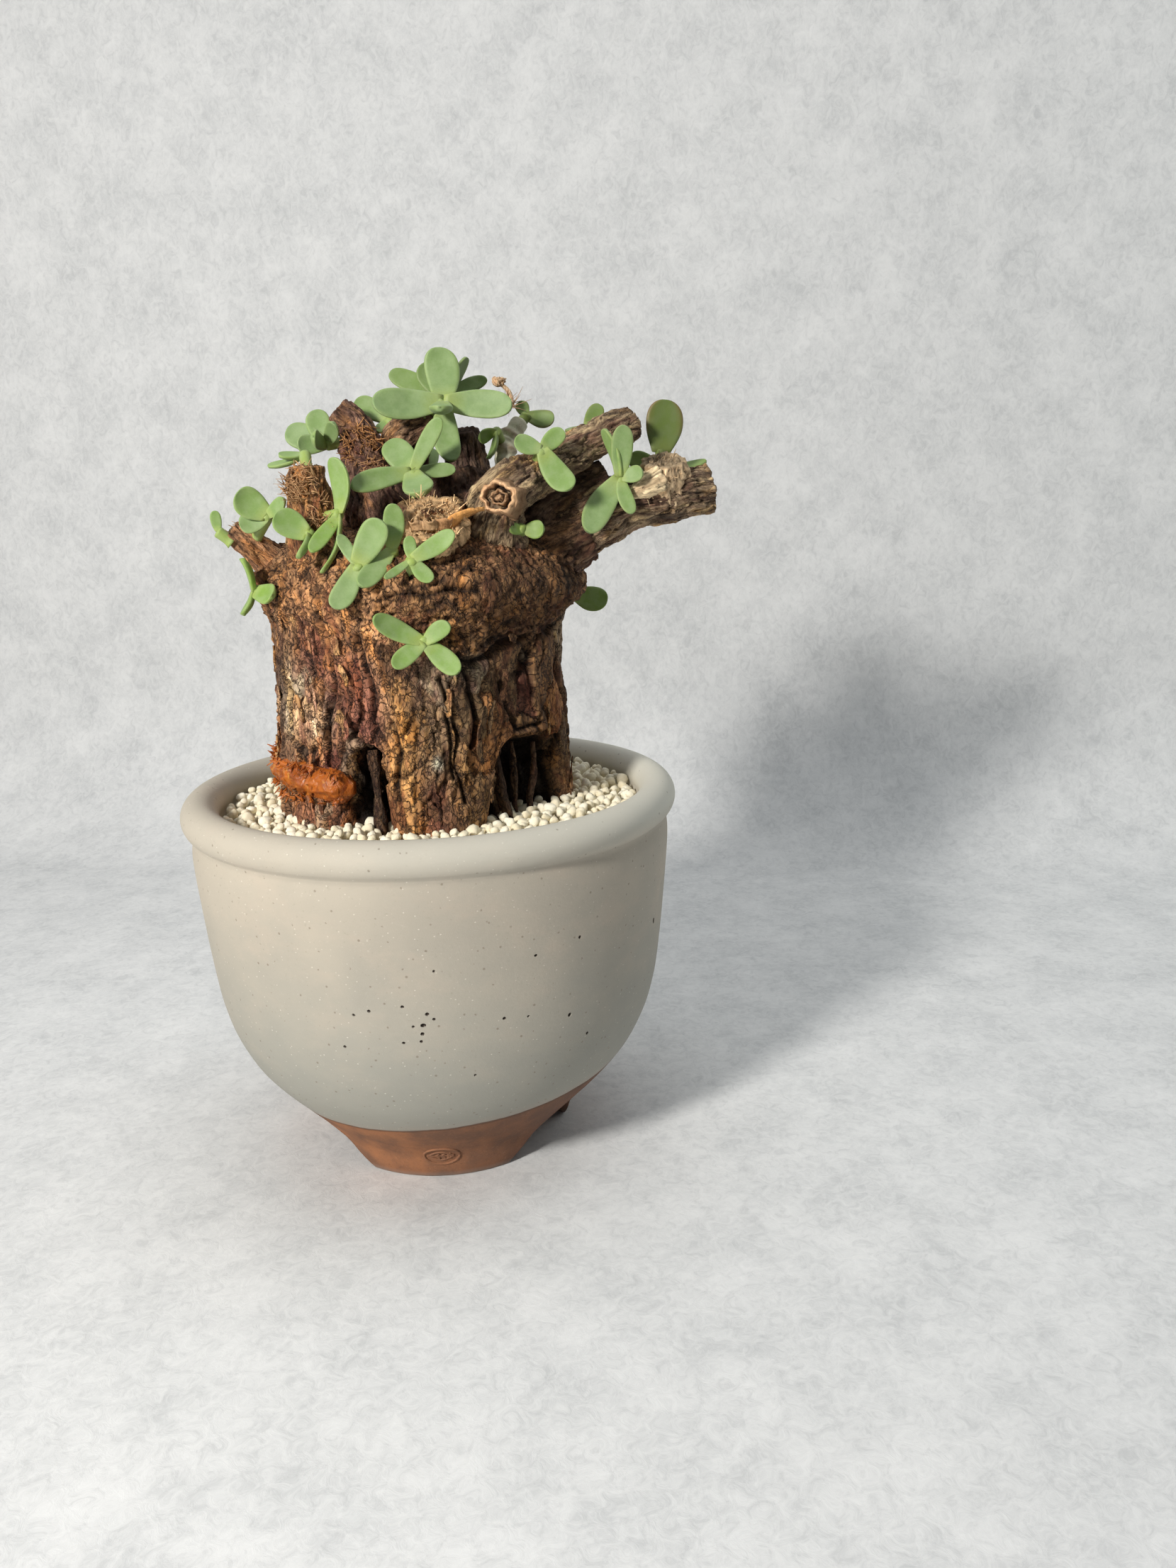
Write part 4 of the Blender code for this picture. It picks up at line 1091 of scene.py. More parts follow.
BURLS = (                            # old wood between the branches: points, radii, tone; the darkest tones are painted shade deep between the branches
    (((9, -3, 124), (10, 1, 134), (9.5, 4, 144)), (12.0, 9.5, 5.5), (0.10, 0.055, 0.040)),
    (((15, -6, 121), (24, -5, 128), (34, -4.5, 132.5)), (10.0, 8.5, 6.3), (0.20, 0.115, 0.075)),
    (((18, 8, 124), (24, 7, 131)), (9.0, 6.5), (0.12, 0.07, 0.05)),
    (((20, -4, 131), (31, -3.5, 139), (39, -3, 143)), (7.5, 5.4, 3.2), (0.11, 0.07, 0.05)),
    (((-14, -7, 121), (-20, -8.5, 131)), (9.5, 6.0), (0.34, 0.17, 0.09)),
    (((-7, 3, 124), (-9, 3, 138)), (10.0, 6.6), (0.20, 0.10, 0.07)),
    (((-24, -1, 118), (-31, -2.5, 127)), (8.0, 4.6), (0.40, 0.19, 0.10)),
)
TORN_WOOD = (                        # name, points, radii, tone, cut tone, how ragged, seed, step
    ("side_stub_wood", ((50.8, -5, 138.5), (50.2, -8.0, 145.6)), (5.4, 4.9, 4.2),
     (0.98, 0.72, 0.44), (1.0, 0.78, 0.50), 1.3, 31, 0.36),
    ("torn_patch", ((49, -9.5, 142.0), (45.5, -10.6, 140.4), (42.0, -10.0, 138.9)), (2.6, 2.3, 0.9),
     (1.0, 0.80, 0.50), BRANCH_LOOKS["branch_lower_right"][1], 0.6, 33, 0.3),
)


def bark_tube(path, radii, tone, cut_tone, ragged, fibrous, seed, step=0.42):
    """A branch: a tube of cracked bark with a hollowed, fibrous sawn end."""
    path, radii, at = resample(np.asarray(path, float), np.asarray(radii, float), step)
    along, side, above = frames(path)
    sides = int(max(36, 2 * math.pi * radii.max() / step))
    turn = np.arange(sides) * 2 * math.pi / sides
    across, upward = np.cos(turn), np.sin(turn)
    grain = np.stack([radii[:, None] * across, radii[:, None] * upward, at[:, None] + 0 * across], axis=-1)
    grain = grain + 40.0 * seed
    warp = drift(grain / (3.0, 3.0, 6.0), 200 + seed)
    edge, own, other = plates(grain / (2.3, 2.3, 6.0) + 0.4 * warp, 210 + seed)
    fine_edge, fine_own, _ = plates(grain / (1.1, 1.1, 2.2) + 0.5 * warp, 220 + seed)
    lump = fractal(grain / (5.0, 5.0, 6.0), 230 + seed, 3)
    streak = fractal(grain / (0.55, 0.55, 4.0), 240 + seed, 3)
    ring = np.exp(-(((at[:, None] + 0.9 * warp[..., 0]) % 6.5 - 3.2) / 0.5) ** 2)
    # the cracks between the plates, dark partly as their own colour and partly as painted shade
    crack = smoothstep(0.14, 0.0, edge) * (0.5 + 0.5 * smoothstep(-0.3, 0.4, lump))
    rise = 0.55 * (own - 0.5) - 0.7 * crack + 0.28 * (fine_own - 0.5) + 0.16 * streak * (0.6 + fibrous)
    rise += 0.75 * lump - 0.22 * ring
    rise *= np.clip(radii / 4.0, 0.35, 1)[:, None]
    out = side[:, None] * across[None, :, None] + above[:, None] * upward[None, :, None]
    points = path[:, None] + out * (radii[:, None] + rise)[..., None]
    tones = np.array(tone) * (0.65 + 0.7 * other[..., None]) * (1 + 0.25 * streak[..., None] * fibrous)
    tan = smoothstep(0.25, 0.7, fractal(grain / (1.6, 1.6, 5.0), 250 + seed, 3))[..., None]
    tones = tones * (1 - 0.6 * tan * fibrous) + 0.6 * tan * fibrous * np.array(cut_tone)
    dark = 0.8 * np.maximum(crack, 0.5 * smoothstep(0.15, 0.0, fine_edge))

    rings = max(6, int(radii[-1] / step))
    shares = np.linspace(1, 0.04, rings)[1:]
    end_points, end_grain, end_tone, end_painted_shade = [], [], [], []
    for share in shares:
        flat = points[-1] - path[-1]
        jag = fractal(grain[-1] * share / 0.9 + 7.0, 260 + seed, 3)
        sink = 0.25 * ragged * (1 - share) + ragged * 0.75 * jag * min(1.0, 3 * (1 - share))
        sink = sink + 0.35 * np.sin(share * 21.0) * (1 - share)
        if share > 0.85:
            sink = sink - 0.3
        end_points.append(path[-1] + flat * share - along[-1] * sink[:, None])
        spread = np.stack([grain[-1, :, 2] + sink, grain[-1, :, 0] * share, grain[-1, :, 1] * share], axis=-1)
        end_grain.append(spread)
        glow = 0.62 + 0.28 * np.sin(share * 24.0) + 0.25 * jag
        end_tone.append(np.array(cut_tone) * glow[:, None])
        # painted shade in the sawn end's sunk middle and its deepest pits
        end_painted_shade.append(np.clip(0.8 * smoothstep(0.25, 0.0, share) + 0.7 * smoothstep(0.3, 0.9, sink), 0, 1)
                        + 0 * jag)
    points = np.vstack([points.reshape(-1, 3), np.vstack(end_points)])
    grain = np.vstack([grain.reshape(-1, 3), np.vstack(end_grain)])
    tones = np.vstack([tones.reshape(-1, 3), np.vstack(end_tone)])
    dark = np.append(dark.ravel(), np.concatenate(end_painted_shade))
    faces = tube_faces(len(path) + len(shares), sides)
    return points, faces, {"grain": grain, "tone": tones, "crack": dark}


def make_branches(bark, torn):
    """The branches, the torn wood on one of them, and the old wood between them at the crown, the darkest of
    it painted with shade.
    """
    for seed, (name, (corners, radii)) in enumerate(BRANCHES.items()):
        path = smooth_outline(corners, 12)
        tone, cut_tone, ragged, fibrous, swell = BRANCH_LOOKS[name]
        flare = 1 + 0.22 * np.exp(-(np.linspace(0, 1, len(path)) / 0.22) ** 2)
        widths = along_path(path, radii) * swell * flare
        points, faces, marks = bark_tube(path, widths, tone, cut_tone, ragged, fibrous, seed + 1)
        add_piece(f"{name}_wood", points, faces, bark, [name], marks)
    for name, corners, radii, tone, cut_tone, ragged, seed, step in TORN_WOOD:
        path = smooth_outline(corners, 6)
        widths = along_path(path, radii)
        points, faces, marks = bark_tube(path, widths, tone, cut_tone, ragged, 1.0, seed, step)
        add_piece(name, points, faces, torn, (), marks)
    burls = Batch()
    for seed, (corners, radii, tone) in enumerate(BURLS):
        path = smooth_outline(corners, 10)
        points, faces, marks = bark_tube(path, along_path(path, radii), tone, tone, 1.6, 0.4, 81 + seed, 0.5)
        burls.add(points, faces, **marks)
    burls.piece("crown_burls", bark, "bark")


SCARS = (                            # name, centre, the way it faces, radius, height, tone
    ("cut_knob", (7.1, -28.6, 121.1), (0.05, -0.97, 0.20), 2.0, 2.6, (0.70, 0.48, 0.28)),
    # painted light: cut_front's tone, above 1, brightens a cut face that sits in the shoots' shadow
    ("cut_front", (2.8, -25.6, 135.4), (0.0, -0.86, 0.50), 6.2, 5.0, (1.45, 0.98, 0.52)),
    ("cut_knob_right", (17.5, -23.2, 120.0), (0.45, -0.85, 0.12), 3.0, 1.6, (0.36, 0.19, 0.08)),
    ("cut_knob_back", (-6.0, 31.0, 112.0), (-0.15, 0.98, 0.1), 2.8, 2.2, (0.50, 0.33, 0.19)),
    ("cut_knob_side", (28.0, 9.5, 108.0), (0.95, 0.25, 0.1), 2.4, 2.0, (0.50, 0.33, 0.19)),
)


def make_scars(torn):
    """Rings of callus round the stumps of twigs cut long ago."""
    for seed, (name, centre, facing, radius, height, tone) in enumerate(SCARS):
        facing = unit(facing)
        centre = np.array(centre, float)
        path = np.array([centre - facing * height * share for share in (1.6, 0.7, 0.0)])
        widths = (1.15 * radius, 1.06 * radius, 0.92 * radius)
        points, faces, marks = bark_tube(path, widths, 0.75 * np.array(tone), tone, 1.0, 0.6, 41 + seed, 0.3)
        add_piece(name, points, faces, torn, (), marks)


SOCKET_CENTRE = (15.4, -22.6, 139.4)     # a twig's old socket, low on branch_upper_right
SOCKET_FACING = (-0.38, -0.90, 0.16)
# the darkness is painted shade in the grooves; the brightness is painted light on the raised rings and
# painted shade in the grooves
SOCKET_PROFILE = (                   # radius, height, darkness, brightness
    (4.3, -3.4, 0.1, 0.35), (3.7, -1.4, 0.1, 0.5), (3.25, 0.0, 0.0, 1.0), (2.85, 0.6, 0.0, 1.5),
    (2.5, 0.2, 0.1, 1.0), (2.2, -1.1, 0.95, 0.3), (1.85, -1.2, 0.95, 0.3), (1.55, -0.3, 0.1, 0.8),
    (1.2, -0.2, 0.2, 0.8), (0.95, -0.9, 0.8, 0.4), (0.65, -0.3, 0.2, 0.9), (0.3, 0.0, 0.1, 1.0),
)
SOCKET_TONE = (0.72, 0.45, 0.25)


def make_socket(torn):
    """Rings of callus, one in the other, about a hollow with a torn stump in it."""
    facing = unit(SOCKET_FACING)
    side = unit(np.cross(facing, (0, 0, 1)))
    above = np.cross(side, facing)
    turn = np.linspace(0, 2 * math.pi, 73)[:-1]
    outline = smooth_outline(SOCKET_PROFILE, 4)
    wobble = 1 + 0.09 * np.sin(2 * turn + 1.0) + 0.07 * np.sin(5 * turn) + 0.05 * np.sin(9 * turn + 2)
    radius = outline[:, :1] * wobble
    rise = outline[:, 1:2] + 0 * radius
    flat = side * np.cos(turn)[None, :, None] + above * np.sin(turn)[None, :, None]
    points = np.array(SOCKET_CENTRE) + flat * radius[..., None] + facing * rise[..., None]
    points = points + facing * (0.75 * fractal(points / 1.0, 350, 3))[..., None]
    count = len(turn)
    grain = np.stack([radius, rise + 0 * turn, radius * 0 + turn * 3.0], axis=-1).reshape(-1, 3)
    # painted light on the raised rings and painted shade in the grooves, taken from the profile
    tone = np.repeat(outline[:, 3], count)[:, None] * np.array(SOCKET_TONE)
    dark = np.clip(np.repeat(outline[:, 2], count), 0, 1)
    return add_piece("cut_socket", points.reshape(-1, 3), tube_faces(len(outline), count), torn, (),
                     {"grain": grain, "tone": tone, "crack": dark})


# ---- loose bark and fibres ----

def blade(path, widths, facing, thickness, curl=0.0):
    """A thin closed strip along a path, five points across, with its edges curling up."""
    along = unit(np.gradient(path, axis=0))
    facing = unit(facing - along * np.sum(facing * along, axis=-1, keepdims=True))
    side = np.cross(along, facing)
    across = np.linspace(-1, 1, 5)
    half = np.asarray(widths)[:, None, None] / 2
    lift = curl * (across ** 2)[None, :, None] * half * facing[:, None]
    sheet = path[:, None] + side[:, None] * across[None, :, None] * half + lift
    upper = sheet + facing[:, None] * thickness / 2
    under = sheet - facing[:, None] * thickness / 2
    ring = np.concatenate([upper, under[:, ::-1]], axis=1)
    return ring.reshape(-1, 3), [face[::-1] for face in tube_faces(*ring.shape[:2])]


FLAKES = 210


def make_flakes(bark):
    """Chips of bark that have come half away from the trunk."""
    batch = Batch()
    for k in range(FLAKES):
        degrees = rng.uniform(-180, 180)
        height = rng.uniform(78, 127)
        if root_gap(np.array(degrees), np.array(height))[1] > 0.15:
            continue
        rough = height > crust_edge(degrees)
        length = rng.uniform(1.6, 3.4) if rough else rng.uniform(2.5, 7.0)
        width = rng.uniform(0.9, 1.9) if rough else rng.uniform(0.7, 2.0)
        spot, out = trunk_spot(degrees, height, 0.7 if rough else 0.25)
        level = np.cross((0, 0, 1), out)
        lean = rng.uniform(-1.4, 1.4) if rough else rng.uniform(-0.25, 0.25)
        way = unit(np.array((0, 0, 1)) * math.cos(lean) + level * math.sin(lean))
        share = np.linspace(-0.5, 0.5, 7)
        raised = rng.uniform(0.1, 0.8 if rough else 0.45)
        path = spot + way * (share * length)[:, None] + out * (raised * (share + 0.5) ** 2)[:, None]
        path = path + level * (0.25 * np.sin(share * 5 + k))[:, None]
        widths = width * (1 - 0.4 * np.abs(2 * share) ** 5) * (0.6 + 0.8 * rng.random(7))
        tilt = out + level * rng.uniform(-0.5, 0.5)
        thickness, curl = rng.uniform(0.18, 0.34), rng.uniform(-0.2, 0.5)
        points, faces = blade(path, widths, np.tile(tilt, (7, 1)), thickness, curl)
        tone = trunk_tones(np.array([degrees]), np.array([height]), np.array([0.5]), rng.random(1))[0]
        tone = tone * rng.uniform(0.8, 1.5) if rng.random() < 0.75 else np.array((0.5, 0.27, 0.13))
        batch.add(points, faces, grain=points, tone=tone, crack=0.0)
    return batch.piece("bark_flakes", bark, "bark")


HANGING_ROOTS = (                    # thickness, then (degrees, height, how far out) down each root
    (1.1, ((-112.5, 92, -3.5), (-111.5, 87, -3.0), (-110, 81, -2.0), (-109, 75.5, -1.5))),
    (0.5, ((-116, 91, -4.5), (-115, 85, -5.0), (-114, 79, -4.5), (-114, 75.5, -4))),
    (1.2, ((-60.5, 92, -2.5), (-59, 87, -2.6), (-57, 81, -3.0), (-54, 75.5, -2.5))),
    (0.6, ((-47, 91, -4.5), (-46, 85, -4.8), (-47, 79, -4.5), (-46, 75.5, -4))),
    (0.9, ((-34, 90, -3.5), (-35, 84, -3.2), (-38, 79, -3.5), (-39, 75.5, -3))),
    (1.2, ((65, 90, -3), (64, 84, -3.2), (62, 75.5, -3))),
)
ROOT_TONE, ROOT_CUT_TONE = (0.085, 0.048, 0.032), (0.2, 0.12, 0.07)


def make_roots(bark):
    """Thin dead roots hanging in the hollows at the trunk's foot."""
    batch = Batch()
    for seed, (size, line) in enumerate(HANGING_ROOTS):
        corners = [polar(TRUNK_RADIUS + lift, degrees, height) + TRUNK_MIDDLE
                   for degrees, height, lift in line]
        path = smooth_outline(corners, 6)
        widths = size * (0.9 + 0.2 * np.sin(np.linspace(0, 9, len(path)) + seed))
        points, faces, marks = bark_tube(path, widths, ROOT_TONE, ROOT_CUT_TONE, 0.3, 0.7, 71 + seed)
        batch.add(points, faces, **marks)
    return batch.piece("hanging_roots", bark, "bark")


FIBRE_TUFTS = (                      # centre, the way they point, radius, how many, length, tone
    # painted light: the front cut's tuft is brightened past the others against the shade its own fibres cast
    ((2.8, -25.6, 135.6), (-0.05, -0.85, 0.50), 5.4, 240, 2.2, (1.25, 0.88, 0.48)),
    ((50.2, -8.6, 144.6), (-0.1, -0.6, 0.8), 3.8, 200, 1.8, (0.80, 0.60, 0.36)),
    ((46.0, -10.6, 140.8), (-0.3, -0.95, 0.2), 2.2, 80, 2.0, (0.85, 0.66, 0.40)),
    ((60.3, -3, 140), (1, 0, 0.15), 4.6, 150, 1.2, (0.62, 0.44, 0.27)),
    ((-10, -1.5, 150.0), (-0.2, -1, 0.2), 4.4, 170, 2.8, (0.66, 0.34, 0.14)),
    ((-8, -4.5, 144.5), (-0.2, -1, 0.1), 3.4, 110, 2.6, (0.60, 0.34, 0.17)),
    ((-22.0, -17, 143.0), (-0.5, -0.85, 0.3), 3.6, 150, 2.4, (0.66, 0.40, 0.20)),
    ((-18.0, -18, 137.0), (0.1, -1.0, 0.2), 3.2, 90, 2.4, (0.60, 0.36, 0.18)),
    ((-37, -3, 134.4), (-0.7, -0.1, 0.6), 1.9, 40, 1.3, (0.66, 0.45, 0.28)),
    ((44.6, -3.2, 153.6), (1, 0.2, 0.4), 2.6, 50, 1.3, (0.50, 0.36, 0.24)),
    ((20.0, 6.5, 158.5), (0, -0.2, 1), 1.0, 26, 3.4, (0.62, 0.42, 0.26)),
    ((-18, 29, 137), (-0.1, 0.5, 1), 3.0, 60, 1.8, (0.55, 0.36, 0.20)),
    ((9, 32, 137), (0.1, 0.6, 1), 3.0, 60, 1.8, (0.55, 0.36, 0.20)),
    ((-27.5, -16.5, 85.5), (-0.8, -0.5, 0.2), 5.0, 60, 1.2, (0.55, 0.20, 0.06)),
)


def make_fibres(torn):
    """Torn fibres standing out of the sawn ends."""
    batch = Batch()
    for centre, facing, radius, count, length, tone in FIBRE_TUFTS:
        facing = unit(facing)
        side = unit(np.cross(facing, (0.31, 0.2, 0.9)))
        above = np.cross(facing, side)
        for _ in range(count):
            turn, reach = rng.uniform(0, 2 * math.pi), radius * math.sqrt(rng.random())
            foot = np.array(centre) + (side * math.cos(turn) + above * math.sin(turn)) * reach - facing * 0.8
            way = unit(facing + 0.75 * rng.normal(size=3))
            bend = unit(rng.normal(size=3))
            long = length * rng.uniform(0.4, 1.2)
            share = np.linspace(0, 1, 5)
            path = foot + way * (share * long)[:, None] + bend * (0.45 * long * share ** 2)[:, None]
            points, faces = tube(path, rng.uniform(0.09, 0.22) * (1.05 - 0.8 * share), 4)
            batch.add(points, faces, grain=points, tone=np.array(tone) * rng.uniform(0.6, 1.25), crack=0.0)
    return batch.piece("torn_fibres", torn, "bark")


CURLS_MIDDLE = np.array((2.8, -22.5, 135.0))
CURLS = (                            # angle, length, how far it leans out, tone
    (-38, 6.6, 0.75, (0.86, 0.42, 0.13)), (-12, 6.6, 0.7, (0.90, 0.46, 0.15)),
    (14, 5.2, 0.7, (0.66, 0.32, 0.13)), (-64, 3.4, 0.5, (0.55, 0.30, 0.14)),
    (-95, 2.8, 0.45, (0.60, 0.38, 0.20)), (-128, 2.6, 0.4, (0.58, 0.36, 0.19)),
    (-160, 2.6, 0.45, (0.46, 0.26, 0.13)), (50, 3.6, 0.5, (0.40, 0.20, 0.10)),
    (90, 3.0, 0.4, (0.40, 0.22, 0.12)), (140, 3.0, 0.4, (0.40, 0.22, 0.12)),
)


def make_curls(torn):
    """Curled flakes round the mouth of the front cut."""
    batch = Batch()
    for degrees, length, lean, tone in CURLS:
        out = polar(1.0, degrees, 0.0)
        share = np.linspace(0, 1, 9)
        path = CURLS_MIDDLE + out * (5.3 + lean * length * share ** 1.6)[:, None]
        path[:, 2] += length * (0.75 * share - 0.25 * share ** 3) - 1.2
        widths = 4.0 * (1 - 0.55 * share ** 2) * (0.9 + 0.2 * np.sin(7 * share + degrees))
        points, faces = blade(path, widths, np.tile(-out + (0, 0, 0.3), (9, 1)), 0.3, 0.5)
        batch.add(points, faces, grain=points, tone=tone, crack=0.0)
    return batch.piece("curled_bark", torn, "bark")


PEEL_ENDS = (-196.0, -119.5)         # the angles it reaches between
PEEL_MIDDLE = 85.1
PEEL_HEIGHT = 6.4
PEEL_SHREDS = 95


def make_peel(peel):
    """The band round the left root where the outer bark has come away."""
    batch = Batch()
    columns, rows = 90, 36
    first, last = PEEL_ENDS
    reach = last - first
    degrees = np.linspace(first, last, columns)[None, :]
    share = np.linspace(0, 1, rows)[:, None]
    ends = smoothstep(0, 0.07, (degrees - first) / reach) * smoothstep(0, 0.06, (last - degrees) / reach)
    middle = PEEL_MIDDLE + 0.5 * np.sin(np.radians(degrees * 4))
    height = middle + (share - 0.5) * PEEL_HEIGHT * (0.35 + 0.65 * ends)
    radius = girth(height)
    place = polar(TRUNK_RADIUS, degrees, height)
    crumple = fractal(place / (2.6, 2.6, 1.6), 301, 4)
    crease = 1 - np.abs(fractal(place / (3.4, 3.4, 2.2), 305, 3))
    dome = np.sin(math.pi * share) ** 0.6
    bulge = (1.7 * dome + 0.5 * crumple + 0.55 * (crease - 0.7)) * ends - 1.2 * (1 - ends) - 0.7 * (1 - dome)
    points = polar(radius + bulge, degrees, height) + TRUNK_MIDDLE
    inner = polar(radius - 2.6, degrees, height) + TRUNK_MIDDLE
    ring = np.concatenate([points, inner[:, ::-1]], axis=1)
    batch.add(ring.reshape(-1, 3), tube_faces(rows, 2 * columns))
    for _ in range(PEEL_SHREDS):
        edge = rng.choice((82.3, 88.2))
        at = rng.uniform(-192, -121)
        spot = polar(FOOT_RADIUS + rng.uniform(-0.4, 0.5), at, edge + rng.normal() * 0.6) + TRUNK_MIDDLE
        out, level = polar(1.0, at, 0.0), polar(1.0, at + 90, 0.0)
        way = unit(level * rng.uniform(-1, 1) + np.array((0, 0, 1)) * rng.uniform(-0.8, 0.8) + out * 0.35)
        along = np.linspace(0, 1, 6)
        path = spot + way * (along * rng.uniform(0.8, 2.0))[:, None] + out * (0.4 * along ** 2)[:, None]
        widths = 0.9 * (1.1 - along) * rng.uniform(0.5, 1.4)
        points, faces = blade(path, widths, np.tile(out, (6, 1)), 0.14, 0.6)
        batch.add(points, faces)
    return batch.piece("peeled_band", peel, "bark")


def make_young_stem():
    """A smooth young stem with a collar at each joint."""
    path = smooth_outline(YOUNG_STEM, 14)
    path, widths, at = resample(path, along_path(path, YOUNG_STEM_RADII), 0.25)
    near = np.min(np.abs(at[:, None] - YOUNG_STEM_JOINTS), axis=1)
    collar = np.exp(-((near / 0.55) ** 2))
    widths = widths * (1 + 0.13 * collar - 0.10 * np.exp(-(((near - 1.2) / 0.5) ** 2)))
    widths[-3:] *= (0.9, 0.7, 0.4)
    sides = 40
    points, faces = tube(path, widths, sides)
    body = points[:-2].reshape(len(path), sides, 3)
    out = body - path[:, None]
    body = path[:, None] + out * (1 + 0.05 * fractal(body / 1.1, 330, 3))[..., None]
    points = np.vstack([body.reshape(-1, 3), points[-2:]])
    marks = {"joint": np.append(np.repeat(0.8 * collar, sides), (0.0, 0.0))}
    return add_piece("young_stem_wood", points, faces, stem_finish(), ["young_stem"], marks)


def make_dried_flower():
    """A stalk that ends in shrivelled petals."""
    batch = Batch()
    path = smooth_outline(DRIED_FLOWER, 8)
    points, faces = tube(path, np.linspace(0.55, 0.4, len(path)), 10)
    batch.add(points, faces)
    tip = path[-1]
    for k in range(PETALS):
        turn = 2 * math.pi * k / PETALS + 0.3 * rng.normal()
        out = np.array((math.cos(turn), math.sin(turn), 0.0))
        share = np.linspace(0, 1, 8)
        long = rng.uniform(3.3, 4.8)
        petal = tip + out * (0.35 + 0.62 * long * share ** 1.4)[:, None] * (0.5, 0.5, 1)
        petal[:, 2] += long * (0.45 * share - 0.1 * share ** 2) - 0.8
        petal += 0.15 * np.sin(share * 9 + k)[:, None] * np.cross(out, (0, 0, 1))
        widths = 2.5 * np.sin(math.pi * np.clip(share + 0.12, 0, 1)) + 0.3
        points, faces = blade(petal, widths, np.tile(-out + (0, 0, 0.8), (8, 1)), 0.12, 0.9)
        batch.add(points, faces)
    return batch.piece("dried_flower_petals", petal_finish(), "dry_petal", ["dried_flower"])


# ---- leaves ----

BLUSHED = {                          # how red the leaves' edges are
    "shoot_right_upright": 0.75, "shoot_right_main": 0.12, "shoot_upper_back": 0.3, "shoot_young_top": 0.4,
}
OLIVE_AND_PAINTED_SHADE = {                           # how far towards dark olive: partly the leaves' own darker colour, partly painted shade on shoots that sit in shade
    "shoot_right_upright": 0.72, "shoot_upper_back": 0.40, "shoot_young_top": 0.40, "shoot_crown_back": 0.25,
    "shoot_young_low": 0.20, "shoot_right_behind": 0.35, "shoot_shade": 0.30, "shoot_right_edge_low": 0.30,
    "shoot_right_edge_up": 0.25,
}
AGED = {                             # 0 for a blue-grey bloom, 1 for yellow-green
    "shoot_crown": 0.02, "shoot_crown_back": 0.30, "shoot_centre": 0.18, "shoot_left_cluster": 0.22,
    "shoot_back_left": 0.15, "shoot_front_star": 0.55, "shoot_front_mid": 0.32, "shoot_front_left": 0.22,
    "shoot_front_right": 0.50, "shoot_left_long": 0.60, "shoot_left_low": 0.75, "shoot_left_front": 0.45,
    "shoot_right_main": 0.30, "shoot_right_mid": 0.40, "shoot_right_upright": 0.70,
    "shoot_right_edge_low": 0.75, "shoot_right_edge_up": 0.75, "shoot_young_low": 0.6, "shoot_young_top": 0.6,
    "shoot_upper_back": 0.7, "shoot_right_behind": 0.75, "shoot_shade": 0.8,
}


def leaf(base, tip, width, facing):
    """A thick spoon-shaped leaf: narrow at its base, widest past the middle, rounded at its tip."""
    base, tip, facing = (np.array(v, float) for v in (base, tip, facing))
    length = np.linalg.norm(tip - base)
    along = unit(tip - base)
    up = unit(facing - along * np.dot(facing, along))
    side = np.cross(along, up)
    share = 1 - (1 - np.linspace(0, 1, LEAF_STATIONS)) ** 1.7
    widest = rng.uniform(0.54, 0.66)
    inner = 0.50 + 0.50 * np.sin(np.clip(share / widest, 0, 1) * math.pi / 2) ** rng.uniform(0.85, 1.1)
    outer = np.sqrt(np.clip(1 - ((share - widest) / (1 - widest)) ** 2.4, 0, 1)) ** 0.92
    half = 0.5 * width * np.where(share < widest, inner, outer)
    half = np.maximum(half, 0.42 * (share < 0.3))
    thick = 0.5 * (0.28 * width + 0.55) * (0.72 + 0.28 * np.sin(math.pi * share))
    thick = np.minimum(thick, 0.9 * half + 0.02)
    sway = length * rng.uniform(-0.045, 0.045)
    bow = length * rng.uniform(0.04, 0.10)
    twist = rng.uniform(-0.16, 0.16)
    middle = base + along * (length * share)[:, None] - up * (bow * np.sin(math.pi * share))[:, None]
    middle = middle + side * (sway * np.sin(math.pi * share))[:, None]
    turn = np.arange(LEAF_SIDES) * 2 * math.pi / LEAF_SIDES
    across = np.sign(np.cos(turn)) * np.abs(np.cos(turn)) ** 0.9
    deep = np.sin(turn) * np.where(np.sin(turn) > 0, 0.78, 1.15)
    roll = (twist * (share - 0.5))[:, None, None]
    flat = side * np.cos(roll) + up * np.sin(roll)
    rise = up * np.cos(roll) - side * np.sin(roll)
    dent = -0.10 * width * (1 - across ** 2) * (np.sin(turn) > 0) * 0.7
    cup = 0.07 * width * across ** 2
    points = (middle[:, None] + flat * (half[:, None] * across)[..., None]
              + rise * (thick[:, None] * deep + (half / half.max())[:, None] * (cup + dent))[..., None])
    ripple = 0.035 * width * noise(points / (0.45 * width + 0.6), 400)
    points = points + rise * ripple[..., None]
    rim = np.abs(across)[None, :] ** 6 * (share > 0.35)[:, None]
    faces = tube_faces(LEAF_STATIONS, LEAF_SIDES)
    return points.reshape(-1, 3), faces, np.repeat(share, LEAF_SIDES), rim.ravel()


